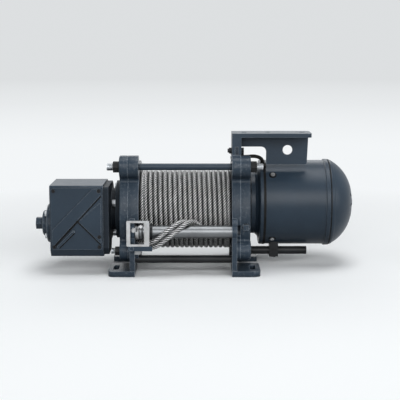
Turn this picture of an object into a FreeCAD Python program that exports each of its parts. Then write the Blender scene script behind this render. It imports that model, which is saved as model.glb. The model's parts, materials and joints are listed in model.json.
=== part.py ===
"""Electric winch hoist: rope drum between two cast end frames, motor at the right, gear case at the left.

Millimetres, +Z up, +X towards the motor, -Y towards the rope guide bar. Every position below is
measured from the drum axis in Y and from the floor in Z, and the anchor frame in front stands as far
from that axis as the motor does behind it, so the origin is under the middle of the hoist.
"""
import FreeCAD
import Part
import math
import os

from FreeCAD import Vector

# Driving dimensions: drum, rope and running fits (mm)
DRUM_Z = 90.0
ROPE_D = 7.6
ROPE_WRAPS = 18
WRAP_PITCH = 7.75
BARREL_R = 53.4
BARREL_WALL = 7.0
FLANGE_R = 63.5
FLANGE_T = 6.0
HUB_R = 22.0
HUB_BORE = 14.0
BUSH_L = 14.0
RUN = 0.05
HALF_LENGTH = 247.0

# End castings: stations along X, disc, lobes as (y, z, lobe radius, neck radius), bores
LEFT_OUT = -117.0
LEFT_SEAM = -104.0
LEFT_IN = -88.0
RIGHT_IN = 53.0
RIGHT_SEAM = 66.0
RIGHT_OUT = 81.0
DISC_R = 76.0
TOP_LOBE = (-55.0, 163.0, 17.3, 14.0)
FRONT_LOBE = (-66.0, 36.0, 14.0, 13.0)
REAR_LOBE = (66.0, 36.0, 14.0, 13.0)
LOBES = (TOP_LOBE, FRONT_LOBE, REAR_LOBE)
VALLEY_R = 4.0
OUTER_EDGE_R = 2.4
RECESS_R = 64.3
RECESS_DEPTH = 7.0
DRUM_BUSH_R = 30.0
BEARING_R = 33.0
BEARING_LIP = 2.0

# Legs and feet
FOOT_HALF_Y = 88.5
FOOT_INNER_Y = 24.0
FOOT_T = 8.5
FOOT_CORNER_R = 10.0
LEG_HALF_Y = 85.2
LEG_TOP = 87.0
LEG_T = 7.5
ARCH_Z = 15.0
ARCH_SLOPE = 8.0
LEFT_LEG = -101.0
LEFT_FOOT_OUT = -134.0
RIGHT_FOOT_OUT = 96.0
SLOT_W = 9.0
SLOT_L = 32.0
SLOT_Y = 57.0
SLOT_EDGE = 11.0

# Tie rods as (y, z, radius): the top one in the lobes, the lower two in the legs
TOP_ROD = (-55.0, 163.0, 5.2)
FRONT_ROD = (-70.0, 24.0, 5.8)
REAR_ROD = (70.0, 24.0, 5.8)
ROD_FIT = 0.2
ROD_WALL = 1.5
NUT_T = 9.5
NUT_ACROSS = 16.2
STUD_OUT = 19.0

# Studs and bolts in the lower lobes, which hold each pair of castings together
LOBE_BOLT_R = 4.0
LOBE_NUT_T = 7.0
LOBE_NUT_ACROSS = 12.0
LOBE_STUD_IN = -95.0
LOBE_STUD_OUT = 13.0

# Rope guide bar and rope anchor
BAR_Y = -76.0
BAR_Z = 67.0
BAR_R = 9.8
BAR_STUB_R = 8.0
BAR_EAR_R = 12.4
BAR_GROOVE_R = 7.4
COLLAR_X = (-70.5, -66.5)
ANCHOR_X = (-104.7, -70.7)
ANCHOR_Z = (48.5, 87.0)
ANCHOR_T = 3.0
ANCHOR_STILE = (5.6, 7.6, 3.0)
SHELF_X = (-102.0, -66.5)
SHELF_Z = (41.2, 48.5)
SHELF_SCREW_R = 2.2
SHELF_SCREW_L = 20.0

# The rope's dead end is doubled: two runs side by side over the guide bar
UPPER_TAIL = (
    (-93.0, -62.0, 50.0), (-67.1, -88.2, 51.9), (-47.7, -90.3, 68.2), (-34.3, -87.0, 77.2),
    (-23.0, -77.0, 81.4), (-13.0, -66.2, 78.6), (-6.5, -62.7, 72.0),
)
LOWER_TAIL = (
    (-93.0, -64.0, 41.5), (-61.4, -89.0, 45.5), (-41.5, -90.6, 61.5), (-22.0, -87.4, 76.2),
    (-11.2, -77.0, 81.4), (-1.2, -66.2, 78.6), (5.3, -62.7, 72.0),
)
ROPE_SOCKET_L = 12.0

# Gear train: stub involute teeth
PRESSURE = math.radians(20.0)
ADDENDUM = 0.8
DEDENDUM = 1.0
BACKLASH = 0.22
MOTOR_MODULE = 1.0
CASE_MODULE = 1.25
MOTOR_PINION_T = 14
FIRST_GEAR_T = 43
INPUT_PINION_T = 14
LAY_GEAR_T = 50
LAY_PINION_T = 16
OUTPUT_GEAR_T = 48

MOTOR_DZ = 7.0
LAY_DZ = -16.0
MOTOR_CENTRES = MOTOR_MODULE * (MOTOR_PINION_T + FIRST_GEAR_T) / 2
CASE_CENTRES = CASE_MODULE * (INPUT_PINION_T + LAY_GEAR_T) / 2
MOTOR_Y = math.sqrt(MOTOR_CENTRES ** 2 - MOTOR_DZ ** 2)
MOTOR_Z = DRUM_Z + MOTOR_DZ
LAY_Y = -math.sqrt(CASE_CENTRES ** 2 - LAY_DZ ** 2)
LAY_Z = DRUM_Z + LAY_DZ
MOTOR_AIM = math.atan2(MOTOR_DZ, MOTOR_Y)
LAY_AIM = math.atan2(LAY_DZ, LAY_Y)
DRUM_CENTRE = (0.0, DRUM_Z)
LAY_CENTRE = (LAY_Y, LAY_Z)
MOTOR_CENTRE = (MOTOR_Y, MOTOR_Z)

FIRST_STAGE_X = (67.0, 75.0)
INPUT_STAGE_X = (-205.0, -191.0)
OUTPUT_STAGE_X = (-169.0, -151.0)
GEAR_SEAT_R = 20.0
SHAFT_R = 10.0
SHAFT_END_R = 8.0
SHAFT_CASE_R = 6.0
LAY_R = 7.0
PINION_BORE = 4.0
CASE_BUSH_R = 11.0

# Gear case at the left end, its back plate, and the flanged neck that bolts to the left housing
CASE_LEFT = -221.0
CASE_RIGHT = -141.0
CASE_BACK = -133.0
CASE_FRONT_Y = -76.0
CASE_TOP_Z = 137.0
CASE_BOTTOM_Z = 28.0
CASE_REAR_R = 47.0
CASE_WALL = 5.0
CASE_END_WALL = 7.0
CASE_CHAMFER = (8.0, 11.0)
BACK_STEP = 2.5
BACK_WALL = 2.0
NECK_END = -125.0
CASE_NECK_R = 33.0
CASE_FLANGE_R = 45.0
CASE_BOLT_CIRCLE = 39.5
CASE_BOLT_ANGLES = (58, 158, 238, 338)
CASE_BOLT_R = 3.1
CASE_BOLT_ACROSS = 10.0
CASE_BOLT_HEAD = 5.0
CASE_BOLT_END = -106.0

# Front cover of the gear case: rim insets, raised band, raised field, bead and bar as (x, z) points
COVER_T = 3.0
COVER_INSET = (2.0, 1.0, 12.0, 3.0)
COVER_OPENING_INSET = 9.0
COVER_BAND = ((-217.0, 44.5), (-217.0, 70.1), (-156.6, 132.0), (-144.0, 132.0), (-144.0, 123.6))
COVER_BAND_T = 2.0
COVER_FIELD = ((-179.5, 85.1), (-144.0, 123.6), (-144.0, 49.0))
COVER_FIELD_T = 1.0
COVER_BEAD = ((-174.7, 85.7), (-146.0, 110.5))
COVER_BEAD_T = 1.6
COVER_BEAD_W = 1.2
COVER_BAR = ((-208.5, 44.5), (-185.2, 67.7))
COVER_BAR_T = 1.6
COVER_BAR_W = 3.4
COVER_SCREW_INSET = 4.5
COVER_SCREW_STEP = 15.0
COVER_SCREW_R = 2.0
COVER_HEAD_R = 2.6
COVER_HEAD_T = 2.2

# Stepped cap over the layshaft end
CAP_FLANGE_R = 30.0
CAP_FLANGE_X = CASE_LEFT - 7.5
CAP_RING_R = 19.5
CAP_RING_X = CASE_LEFT - 15.0
CAP_SCREW_CIRCLE = 24.0
CAP_SCREW_R = 2.15
CAP_PLUG_R = 6.0
CAP_PLUG_ACROSS = 17.0

# Motor
NECK_R = 50.0
NECK_STEP = 3.0
RIM_X = (97.5, 106.5)
RIM_R = 67.2
SHELL_END = 199.5
SHELL_R = 66.8
SHELL_IN_R = 61.0
COWL_LIP_R = 68.6
COWL_LIP_END = 206.5
COWL_SHOULDER = ((208.5, 0.0), (211.2, 0.6), (213.5, 2.2))
COWL_DOME = ((12.5, 22.0), (1.8, 58.6))
COWL_TIP_R = 6.0
COWL_T = 2.0
COWL_SLOTS = 12
CORE_X = (122.0, 178.0)
CORE_IN_R = 38.0
ROTOR_R = 37.5
MOTOR_SHAFT_R = 8.0
MOTOR_BEARING_R = 17.5
MOTOR_BORE_R = 9.4
BRAKE_X = (SHELL_END, 213.5)
BRAKE_DISC_X = (214.5, 218.5)
BRAKE_R = 45.0
FAN_X = (222.0, 234.0)
FAN_R = 43.0
FAN_BLADES = 9
SPIGOT_L = 14.0
SPIGOT_T = 4.0
REAR_SHIELD_T = 9.0
WINDING_R = (42.0, 56.0)
SHELL_SCREW_X = 117.5
SHELL_SCREW_ANGLES = (133, 231, 313, 51)
SHELL_SCREW_R = 2.2
SHELL_HEAD_R = 3.4

# Square-head oil plug in the front of the right housing
PLUG_X = 74.0
PLUG_Z = 73.5
PLUG_SEAT_Y = -73.0
PLUG_R = 4.0
PLUG_HEAD = 8.4

# Top bracket, and the pad of the right frame that it stands on
BRACKET_X = (53.0, 173.0)
BRACKET_Y = (-58.0, -10.0)
BRACKET_TOP = 213.6
BRACKET_T = 6.2
POST_W = 14.0
PAD_Z = 181.0
PAD_LEDGES = ((171.5, 174.5, 1.4), (177.5, 181.0, 0.9))
TONGUE_X = (57.5, 62.5)
TONGUE_L = 26.0
TONGUE_H = 12.0
FORK_GAP = 0.2
WEB_T = 4.5
WEB_BOTTOM = 162.0
WINDOW_X = (67.0, 107.0)
WINDOW_TOP = 189.6
WEB_HOLE = (140.0, 184.5, 7.5)
FLANGE_HOLES_X = (72.0, 108.0, 160.0)
FLANGE_HOLE_Y = -33.0
FLANGE_HOLE_R = 4.5
BOLT_Y = -48.0
BOLT_Z = 187.0
BOLT_R = 3.0
BOLT_ACROSS = 8.6

# Motor support rod, its clamp, and the motor lead from the frame's pad to the motor rim
SUPPORT_Y = 5.0
SUPPORT_Z = 23.0
SUPPORT_R = 6.3
SUPPORT_END = 173.0
SUPPORT_BOSS_R = 14.0
SUPPORT_SOCKET = 8.0
CLAMP_X = (114.0, 128.0)
CLAMP_HALF_Y = 9.0
CLAMP_BELOW = 8.6
CLAMP_TOP = 44.0
CLAMP_SCREW_R = 2.15
LEAD_R = 2.8
LEAD_EXIT = (-24.0, 175.0)
LEAD_GLAND_L = 6.0
LEAD_GLAND_ACROSS = 11.0
LEAD_RIM_X = 102.0
LEAD_RIM_ANGLE = math.radians(118.0)

ANCHOR_FRONT = -(MOTOR_Y + COWL_LIP_R)
ANCHOR_BACK = ANCHOR_FRONT + ANCHOR_T


def at(plane, a, b, c):
    """Point (a, b) of a drawing plane at station c; the plane is named by its normal."""
    if plane == "x":
        return Vector(c, a, b)
    if plane == "y":
        return Vector(a, c, b)
    return Vector(a, b, c)


def plate(plane, corners, start, end):
    """Plate with the outline of corners (a, b, corner radius), from station start to end."""
    spans = []
    for i, (a, b, radius) in enumerate(corners):
        here = Vector(a, b)
        u = (Vector(*corners[i - 1][:2]) - here).normalize()
        v = (Vector(*corners[(i + 1) % len(corners)][:2]) - here).normalize()
        half = u.getAngle(v) / 2
        run = radius / math.tan(half)
        middle = here
        if radius > 0:
            middle = here + (u + v).normalize() * (radius / math.sin(half) - radius)
        spans.append((here + u * run, middle, here + v * run, radius))
    edges = []
    for i, (first, middle, last, radius) in enumerate(spans):
        previous = spans[i - 1][2]
        if (first - previous).Length > 1e-6:
            line = (at(plane, previous.x, previous.y, start), at(plane, first.x, first.y, start))
            edges.append(Part.makeLine(*line))
        if radius > 0:
            arc = [at(plane, p.x, p.y, start) for p in (first, middle, last)]
            edges.append(Part.Arc(*arc).toShape())
    face = Part.Face(Part.Wire(Part.__sortEdges__(edges)))
    return face.extrude(at(plane, 0, 0, end - start))


def strap(x0, x1, one, r_one, two, r_two):
    """Plate with the outline of a belt round two circles given by (y, z) and radius."""
    base = math.atan2(two[1] - one[1], two[0] - one[0])
    spread = math.acos((r_one - r_two) / math.dist(one, two))

    def on(centre, radius, angle):
        return Vector(x0, centre[0] + radius * math.cos(angle), centre[1] + radius * math.sin(angle))

    left_one = on(one, r_one, base + spread)
    left_two = on(two, r_two, base + spread)
    right_one = on(one, r_one, base - spread)
    right_two = on(two, r_two, base - spread)
    edges = [
        Part.makeLine(left_one, left_two),
        Part.Arc(left_two, on(two, r_two, base), right_two).toShape(),
        Part.makeLine(right_two, right_one),
        Part.Arc(right_one, on(one, r_one, base + math.pi), left_one).toShape(),
    ]
    return Part.Face(Part.Wire(edges)).extrude(Vector(x1 - x0, 0, 0))


def rod(x0, x1, radius, y=0.0, z=DRUM_Z):
    """Round bar along X."""
    return Part.makeCylinder(radius, x1 - x0, Vector(x0, y, z), Vector(1, 0, 0))


def ring(x0, x1, outer, inner, y=0.0, z=DRUM_Z):
    """Tube along X."""
    return rod(x0, x1, outer, y, z).cut(rod(x0 - 1, x1 + 1, inner, y, z))


def turned(profile, y=0.0, z=DRUM_Z):
    """Solid of revolution about an X axis from a closed profile of (x, radius) points."""
    points = [Vector(x, y, z + r) for x, r in profile]
    face = Part.Face(Part.makePolygon(points + points[:1]))
    return face.revolve(Vector(0, y, z), Vector(1, 0, 0), 360)


def hexagon(x0, x1, across, y, z):
    """Hexagon prism along X, flats top and bottom."""
    corner = across / math.sqrt(3)
    points = [(y + corner * math.cos(k * math.pi / 3), z + corner * math.sin(k * math.pi / 3), 0)
              for k in range(6)]
    return plate("x", points, x0, x1)


def block(x, y, z):
    """Box from three (low, high) pairs."""
    return Part.makeBox(x[1] - x[0], y[1] - y[0], z[1] - z[0], Vector(x[0], y[0], z[0]))


def join(shapes):
    """One solid from touching or overlapping shapes."""
    shapes = list(shapes)
    return shapes[0].multiFuse(shapes[1:]).removeSplitter()


def group(shapes):
    """Separate solids kept in one node."""
    return Part.makeCompound(list(shapes))


def gear(teeth, module, stations, centre, bore, aim, gap_on_aim=False):
    """Spur gear along X with stub involute teeth; a tooth or a gap lies on the direction aim."""
    pitch_r = teeth * module / 2
    base_r = pitch_r * math.cos(PRESSURE)
    root_r = pitch_r - DEDENDUM * module
    tip_r = pitch_r + ADDENDUM * module
    half_tooth = math.pi / (2 * teeth) - BACKLASH / (4 * pitch_r)
    involute = math.tan(PRESSURE) - PRESSURE

    def half_angle(radius):
        roll = math.acos(base_r / max(radius, base_r))
        return half_tooth + involute - (math.tan(roll) - roll)

    start_r = max(base_r, root_r + 0.1)
    flank = [root_r] + [start_r + (tip_r - start_r) * k / 3 for k in range(4)]
    points = []
    for tooth in range(teeth):
        middle = aim + (tooth + (0.5 if gap_on_aim else 0.0)) * 2 * math.pi / teeth
        side = [(r, middle - half_angle(r)) for r in flank]
        side += [(r, middle + half_angle(r)) for r in reversed(flank)]
        points += [(centre[0] + r * math.cos(a), centre[1] + r * math.sin(a)) for r, a in side]
    wire = [Vector(stations[0], y, z) for y, z in points]
    face = Part.Face(Part.makePolygon(wire + wire[:1]))
    blank = face.extrude(Vector(stations[1] - stations[0], 0, 0))
    return blank.cut(rod(stations[0] - 1, stations[1] + 1, bore, *centre))


def tube_path(points, radius):
    """Round tube along straight runs joined by arcs as large as the runs allow."""
    points = [Vector(*p) for p in points]
    edges = []
    start = points[0]
    for before, corner, after in zip(points, points[1:], points[2:]):
        u = (before - corner).normalize()
        v = (after - corner).normalize()
        half = u.getAngle(v) / 2
        run = 0.45 * min((before - corner).Length, (after - corner).Length)
        bend = run * math.tan(half)
        middle = corner + (u + v).normalize() * (bend / math.sin(half) - bend)
        edges.append(Part.makeLine(start, corner + u * run))
        edges.append(Part.Arc(corner + u * run, middle, corner + v * run).toShape())
        start = corner + v * run
        print("bend radius", round(bend, 1))
    edges.append(Part.makeLine(start, points[-1]))
    path = Part.Wire(edges)
    section = Part.Wire(Part.makeCircle(radius, points[0], points[1] - points[0]))
    tube = path.makePipeShell([section], True, True)
    print("tube volume ratio", round(tube.Volume / (math.pi * radius ** 2 * path.Length), 3))
    return tube


# End frames: lobed disc with a drum recess, leg plate and two slotted feet
def lobed_disc(x0, x1, rounded_face=None):
    """Cast disc with three lobes on short necks; the edge of one face can be rounded."""
    pieces = [rod(x0, x1, DISC_R)]
    for y, z, lobe_r, neck_r in LOBES:
        pieces.append(strap(x0, x1, DRUM_CENTRE, neck_r, (y, z), neck_r))
        pieces.append(rod(x0, x1, lobe_r, y, z))
    body = join(pieces)
    body = body.makeFillet(VALLEY_R, [edge for edge in body.Edges if is_valley(body, edge)])
    if rounded_face is None:
        return body
    boxes = [(edge, edge.BoundBox) for edge in body.Edges]
    rim = [edge for edge, box in boxes if abs(box.XMin - rounded_face) < 1e-6 and box.XLength < 1e-6]
    return body.makeFillet(OUTER_EDGE_R, rim)


def is_valley(body, edge):
    """True for a straight edge along X where two faces meet at an angle."""
    if abs(edge.tangentAt(edge.FirstParameter).x) < 0.999:
        return False
    faces = body.ancestorsOfType(edge, Part.Face)
    if len(faces) != 2:
        return False
    middle = edge.valueAt((edge.FirstParameter + edge.LastParameter) / 2)
    normals = [face.normalAt(*face.Surface.parameter(middle)) for face in faces]
    return normals[0].getAngle(normals[1]) > math.radians(8.0)


def rod_hole(x0, x1, y, z, radius):
    """Clearance hole for a tie rod."""
    return rod(x0, x1, radius + ROD_FIT, y, z)


def lobe_bolt_holes(x0, x1):
    """Drillings for the studs or bolts of the lower lobes."""
    return [rod(x0, x1, LOBE_BOLT_R + RUN, y, z) for y, z, _, _ in (FRONT_LOBE, REAR_LOBE)]


def leg_plate(x0):
    """Leg plate with a low arch between its feet."""
    arch = FOOT_INNER_Y
    outline = [
        (-LEG_HALF_Y, 0, 0), (-LEG_HALF_Y, LEG_TOP, 7), (LEG_HALF_Y, LEG_TOP, 7), (LEG_HALF_Y, 0, 0),
        (arch, 0, 0), (arch - ARCH_SLOPE, ARCH_Z, 6), (ARCH_SLOPE - arch, ARCH_Z, 6), (-arch, 0, 0),
    ]
    return plate("x", outline, x0, x0 + LEG_T)


def foot(inner_x, outer_x, side):
    """Foot pad with a rounded outer corner and a slot along Y; side is -1 for the front foot."""
    near = side * FOOT_INNER_Y
    far = side * FOOT_HALF_Y
    outline = [(inner_x, near, 0), (outer_x, near, 4), (outer_x, far, FOOT_CORNER_R), (inner_x, far, 0)]
    slot_x = outer_x + math.copysign(SLOT_EDGE, inner_x - outer_x)
    half_w = SLOT_W / 2
    ends = [Vector(slot_x, side * SLOT_Y + way * (SLOT_L / 2 - half_w), -1) for way in (-1, 1)]
    slot = [Part.makeCylinder(half_w, FOOT_T + 2, end) for end in ends]
    slot.append(block((slot_x - half_w, slot_x + half_w), (ends[0].y, ends[1].y), (-1, FOOT_T + 1)))
    return plate("z", outline, 0, FOOT_T).cut(join(slot))


def end_frame(inner, seam, leg_x, foot_inner, foot_outer, bar_hole_r):
    """Casting that carries one end of the drum; the recess takes the drum flange."""
    low, high = min(inner, seam), max(inner, seam)
    ear = strap(leg_x, leg_x + LEG_T, (BAR_Y + 20, BAR_Z), BAR_EAR_R, (BAR_Y, BAR_Z), BAR_EAR_R)
    feet = [foot(foot_inner, foot_outer, side) for side in (-1, 1)]
    body = join([lobed_disc(low, high), leg_plate(leg_x), ear] + feet)
    inward = math.copysign(1.0, inner - seam)
    deep = inner - inward * RECESS_DEPTH
    cuts = [
        rod(min(deep, inner + inward), max(deep, inner + inward), RECESS_R),
        rod(low - 1, high + 1, DRUM_BUSH_R),
        rod(low - 10, high + 10, bar_hole_r, BAR_Y, BAR_Z),
        rod_hole(low - 1, high + 1, *TOP_ROD),
    ]
    rod_x0, rod_x1 = leg_rod_span()
    cuts += [rod_hole(rod_x0, rod_x1, *place) for place in (FRONT_ROD, REAR_ROD)]
    return body.cut(group(cuts))


def leg_rod_span():
    """Stations of the lower rods' ends, inside the two leg plates."""
    return LEFT_LEG + ROD_WALL, RIGHT_IN + LEG_T - ROD_WALL


def left_end_frame():
    """Left casting, relieved for the bar's turned end and drilled for the rope's two ends."""
    leg_inner = LEFT_LEG + LEG_T
    body = end_frame(LEFT_IN, LEFT_SEAM, LEFT_LEG, leg_inner, LEFT_FOOT_OUT, BAR_STUB_R + RUN)
    relief = rod(leg_inner, LEFT_IN + 1, BAR_EAR_R + 1, BAR_Y, BAR_Z)
    studs = lobe_bolt_holes(LEFT_SEAM - 1, LOBE_STUD_IN)
    return body.cut(group([relief] + rope_end_holes() + anchor_screw_holes() + studs))


def right_end_frame():
    """Right casting, with the stepped pad and tongue that carry the top bracket."""
    body = end_frame(RIGHT_IN, RIGHT_SEAM, RIGHT_IN, RIGHT_IN, RIGHT_FOOT_OUT, BAR_R + RUN)
    y0, y1 = BRACKET_Y
    pad_outline = [(y0, 160, 0), (y0, PAD_Z, 1), (y1, PAD_Z, 1), (y1, 156.5, 0), (-30, 150.5, 0)]
    pad = [plate("x", pad_outline, RIGHT_IN, RIGHT_SEAM)]
    for z0, z1, proud in PAD_LEDGES:
        pad.append(block((RIGHT_IN - proud, RIGHT_SEAM), (y0 - proud, y1 + proud), (z0, z1)))
    tongue = block(TONGUE_X, (y0 + 2, y0 + 2 + TONGUE_L), (PAD_Z - 1, PAD_Z + TONGUE_H))
    cuts = [
        rod(RIGHT_IN - 3, RIGHT_SEAM + 9, BOLT_R + ROD_FIT, BOLT_Y, BOLT_Z),
        rod_hole(RIGHT_IN - 3, RIGHT_SEAM + 1, *TOP_ROD),
        rod(RIGHT_SEAM - 4, RIGHT_SEAM + 1, LEAD_R + RUN, *LEAD_EXIT),
    ]
    return join([body, tongue] + pad).cut(group(cuts + lobe_bolt_holes(RIGHT_IN - 1, RIGHT_SEAM + 1)))


def left_outer_housing():
    """Cover casting on the left frame, bored for the drum bearing and drilled for the case bolts."""
    body = lobed_disc(LEFT_OUT, LEFT_SEAM, LEFT_OUT)
    x0, x1 = LEFT_OUT - 1, LEFT_SEAM + 1
    cuts = [rod(LEFT_OUT + BEARING_LIP, x1, BEARING_R), rod(x0, x1, HUB_R + 4), rod_hole(x0, x1, *TOP_ROD)]
    cuts += [rod(x0, x1, CASE_BOLT_R + RUN, y, z) for y, z in case_bolt_places()]
    return body.cut(group(cuts + lobe_bolt_holes(x0, x1)))


def right_gear_housing():
    """First-stage housing: gear and pinion pockets open to the right frame, boss for the support rod."""
    x0, x1 = RIGHT_SEAM, RIGHT_OUT
    place = (SUPPORT_Y, SUPPORT_Z)
    web = strap(x0, x1, (0.0, 60.0), SUPPORT_BOSS_R, place, SUPPORT_BOSS_R)
    boss = rod(x1 - 1, x1 + 4, SUPPORT_BOSS_R, *place)
    body = join([lobed_disc(x0, x1, x1), web, boss])
    pocket_end = FIRST_STAGE_X[1] + 0.6
    cuts = [
        rod(x0 - 1, pocket_end, FIRST_GEAR_T * MOTOR_MODULE / 2 + 2.1),
        rod(x0 - 1, pocket_end, MOTOR_BORE_R, *MOTOR_CENTRE),
        rod(x0, x1 + 1, SHAFT_END_R + 4),
        rod(x0, x1 + 1, MOTOR_BORE_R, *MOTOR_CENTRE),
        rod(x1 - SUPPORT_SOCKET, x1 + 10, SUPPORT_R + RUN, *place),
        rod_hole(x0 - 1, x1 + 1, *TOP_ROD),
        oil_plug_hole(),
    ]
    return body.cut(group(cuts + lobe_bolt_holes(x0 - 1, x1 - 3)))


def oil_plug_hole():
    """Drilling for the oil plug, with a spot face on the front of the disc."""
    along = Vector(0, 1, 0)
    hole = Part.makeCylinder(PLUG_R + RUN, 20, Vector(PLUG_X, PLUG_SEAT_Y, PLUG_Z), along)
    seat = Part.makeCylinder(PLUG_HEAD * 0.72, 10, Vector(PLUG_X, PLUG_SEAT_Y - 10, PLUG_Z), along)
    return hole.fuse(seat)


def oil_plug():
    """Square-head plug screwed into the front of the right housing."""
    stem = Part.makeCylinder(PLUG_R, 16, Vector(PLUG_X, PLUG_SEAT_Y, PLUG_Z), Vector(0, 1, 0))
    half = PLUG_HEAD / 2
    corners = [(PLUG_X + a * half, PLUG_Z + b * half, 0.8) for a, b in ((-1, -1), (1, -1), (1, 1), (-1, 1))]
    return stem.fuse(plate("y", corners, PLUG_SEAT_Y - 5, PLUG_SEAT_Y))


# Tie rods and nuts
def tie_rod(x0, x1, y, z, radius):
    """Rod along X with a chamfer at each end."""
    profile = [(x0, 0), (x0, radius - 1), (x0 + 1, radius), (x1 - 1, radius), (x1, radius - 1), (x1, 0)]
    return turned(profile, y, z)


def top_tie_rod():
    """Rod through the top lobes of all four castings."""
    return tie_rod(LEFT_OUT - STUD_OUT, RIGHT_OUT + STUD_OUT, *TOP_ROD)


def nut(x0, x1, across, bore, y, z):
    """Hexagon nut along X."""
    return hexagon(x0, x1, across, y, z).cut(rod(x0 - 1, x1 + 1, bore + RUN, y, z))


def tie_rod_nuts():
    """Nut on each end of the top rod."""
    y, z, radius = TOP_ROD
    return group(nut(x0, x0 + NUT_T, NUT_ACROSS, radius, y, z) for x0 in (LEFT_OUT - NUT_T, RIGHT_OUT))


def casting_bolts():
    """Studs with nuts in the left pair of castings and headed bolts in the right pair."""
    pieces = []
    for y, z, _, _ in (FRONT_LOBE, REAR_LOBE):
        pieces.append(tie_rod(LEFT_OUT - LOBE_STUD_OUT, LOBE_STUD_IN, y, z, LOBE_BOLT_R))
        pieces.append(nut(LEFT_OUT - LOBE_NUT_T, LEFT_OUT, LOBE_NUT_ACROSS, LOBE_BOLT_R, y, z))
        head = hexagon(RIGHT_IN - LOBE_BOLT_R, RIGHT_IN, LOBE_NUT_ACROSS, y, z)
        pieces.append(join([head, rod(RIGHT_IN, RIGHT_OUT - 3, LOBE_BOLT_R, y, z)]))
    return group(pieces)


# Drum body: barrel, flanges and hollow hub, rope winding, output gear, hub bushes
def drum():
    """Barrel on two flanges; the left hub runs out to the gear case."""
    gear_x0, gear_x1 = OUTPUT_STAGE_X
    hub_end = RIGHT_SEAM - 0.4
    inner_r = BARREL_R - BARREL_WALL
    boss_r = HUB_R - 2
    web_r = HUB_R + 2
    profile = [
        (gear_x0 - 2, HUB_BORE), (gear_x0 - 2, GEAR_SEAT_R - 1), (gear_x0 - 1, GEAR_SEAT_R),
        (gear_x1, GEAR_SEAT_R), (gear_x1, HUB_R), (LEFT_IN - FLANGE_T, HUB_R),
        (LEFT_IN - FLANGE_T, FLANGE_R), (LEFT_IN, FLANGE_R),
        (LEFT_IN, BARREL_R), (RIGHT_IN, BARREL_R), (RIGHT_IN, FLANGE_R), (RIGHT_IN + FLANGE_T, FLANGE_R),
        (RIGHT_IN + FLANGE_T, HUB_R), (hub_end, HUB_R), (hub_end, HUB_BORE), (RIGHT_IN - BUSH_L, HUB_BORE),
        (RIGHT_IN - BUSH_L, boss_r), (RIGHT_IN - FLANGE_T, web_r), (RIGHT_IN - FLANGE_T, inner_r),
        (LEFT_IN + FLANGE_T, inner_r), (LEFT_IN + FLANGE_T, web_r), (LEFT_IN + BUSH_L, boss_r),
        (LEFT_IN + BUSH_L, HUB_BORE),
    ]
    return turned(profile)


def rope_winding():
    """One layer of rope: a ring with a rounded crest for every wrap."""
    start = (LEFT_IN + RIGHT_IN - ROPE_WRAPS * WRAP_PITCH) / 2
    valley = BARREL_R + ROPE_D * 0.62
    crest = BARREL_R + ROPE_D
    edges = []
    for wrap in range(ROPE_WRAPS):
        x = start + wrap * WRAP_PITCH
        arc = [(x, valley), (x + WRAP_PITCH / 2, crest), (x + WRAP_PITCH, valley)]
        edges.append(Part.Arc(*[Vector(px, 0, DRUM_Z + r) for px, r in arc]).toShape())
    end = start + ROPE_WRAPS * WRAP_PITCH
    foot_line = [(end, valley), (end, BARREL_R), (start, BARREL_R), (start, valley)]
    points = [Vector(px, 0, DRUM_Z + r) for px, r in foot_line]
    edges += [Part.makeLine(a, b) for a, b in zip(points, points[1:])]
    face = Part.Face(Part.Wire(edges))
    return face.revolve(Vector(0, 0, DRUM_Z), Vector(1, 0, 0), 360)


def output_gear():
    return gear(OUTPUT_GEAR_T, CASE_MODULE, OUTPUT_STAGE_X, DRUM_CENTRE, GEAR_SEAT_R, LAY_AIM)


def hub_bushes():
    """Bronze bushes in the hub bore that steady the drive shaft."""
    left = OUTPUT_STAGE_X[0] - 2
    right = RIGHT_SEAM - 0.4
    return group(ring(x, x + BUSH_L, HUB_BORE, SHAFT_R + RUN) for x in (left, right - BUSH_L))


def drum_bearing_left():
    return ring(LEFT_OUT + BEARING_LIP, LEFT_SEAM, BEARING_R, HUB_R + RUN)


def drum_bush_right():
    return ring(RIGHT_IN + RECESS_DEPTH, RIGHT_SEAM, DRUM_BUSH_R, HUB_R + RUN)


def drum_bush_left():
    return ring(LEFT_SEAM, LEFT_IN - RECESS_DEPTH, DRUM_BUSH_R, HUB_R + RUN)


# Drive shaft through the drum
def drive_shaft():
    """Stepped shaft from the gear case to the first-stage gear."""
    left = CASE_LEFT + 2
    step = INPUT_STAGE_X[1]
    shoulder = FIRST_STAGE_X[0] - 0.5
    right = RIGHT_OUT - 1
    profile = [
        (left, 0), (left, SHAFT_CASE_R), (step, SHAFT_CASE_R), (step, SHAFT_R), (shoulder, SHAFT_R),
        (shoulder, SHAFT_END_R), (right, SHAFT_END_R), (right, 0),
    ]
    return turned(profile)


def first_stage_gear():
    return gear(FIRST_GEAR_T, MOTOR_MODULE, FIRST_STAGE_X, DRUM_CENTRE, SHAFT_END_R, MOTOR_AIM)


def input_pinion():
    return gear(INPUT_PINION_T, CASE_MODULE, INPUT_STAGE_X, DRUM_CENTRE, SHAFT_CASE_R, LAY_AIM, True)


def drive_shaft_bushes():
    left = ring(CASE_LEFT + 1, CASE_LEFT + 13, CASE_BUSH_R, SHAFT_CASE_R + RUN)
    right = ring(FIRST_STAGE_X[1] + 0.6, RIGHT_OUT, SHAFT_END_R + 4, SHAFT_END_R + RUN)
    return group([left, right])


# Layshaft in front of and below the drum axis
def layshaft():
    x0 = CASE_LEFT + 2
    x1 = CASE_BACK - BACK_WALL - 1
    profile = [(x0, 0), (x0, LAY_R - 1), (x0 + 1, LAY_R), (x1 - 1, LAY_R), (x1, LAY_R - 1), (x1, 0)]
    return turned(profile, *LAY_CENTRE)


def layshaft_gear():
    return gear(LAY_GEAR_T, CASE_MODULE, INPUT_STAGE_X, LAY_CENTRE, LAY_R, LAY_AIM + math.pi)


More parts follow.
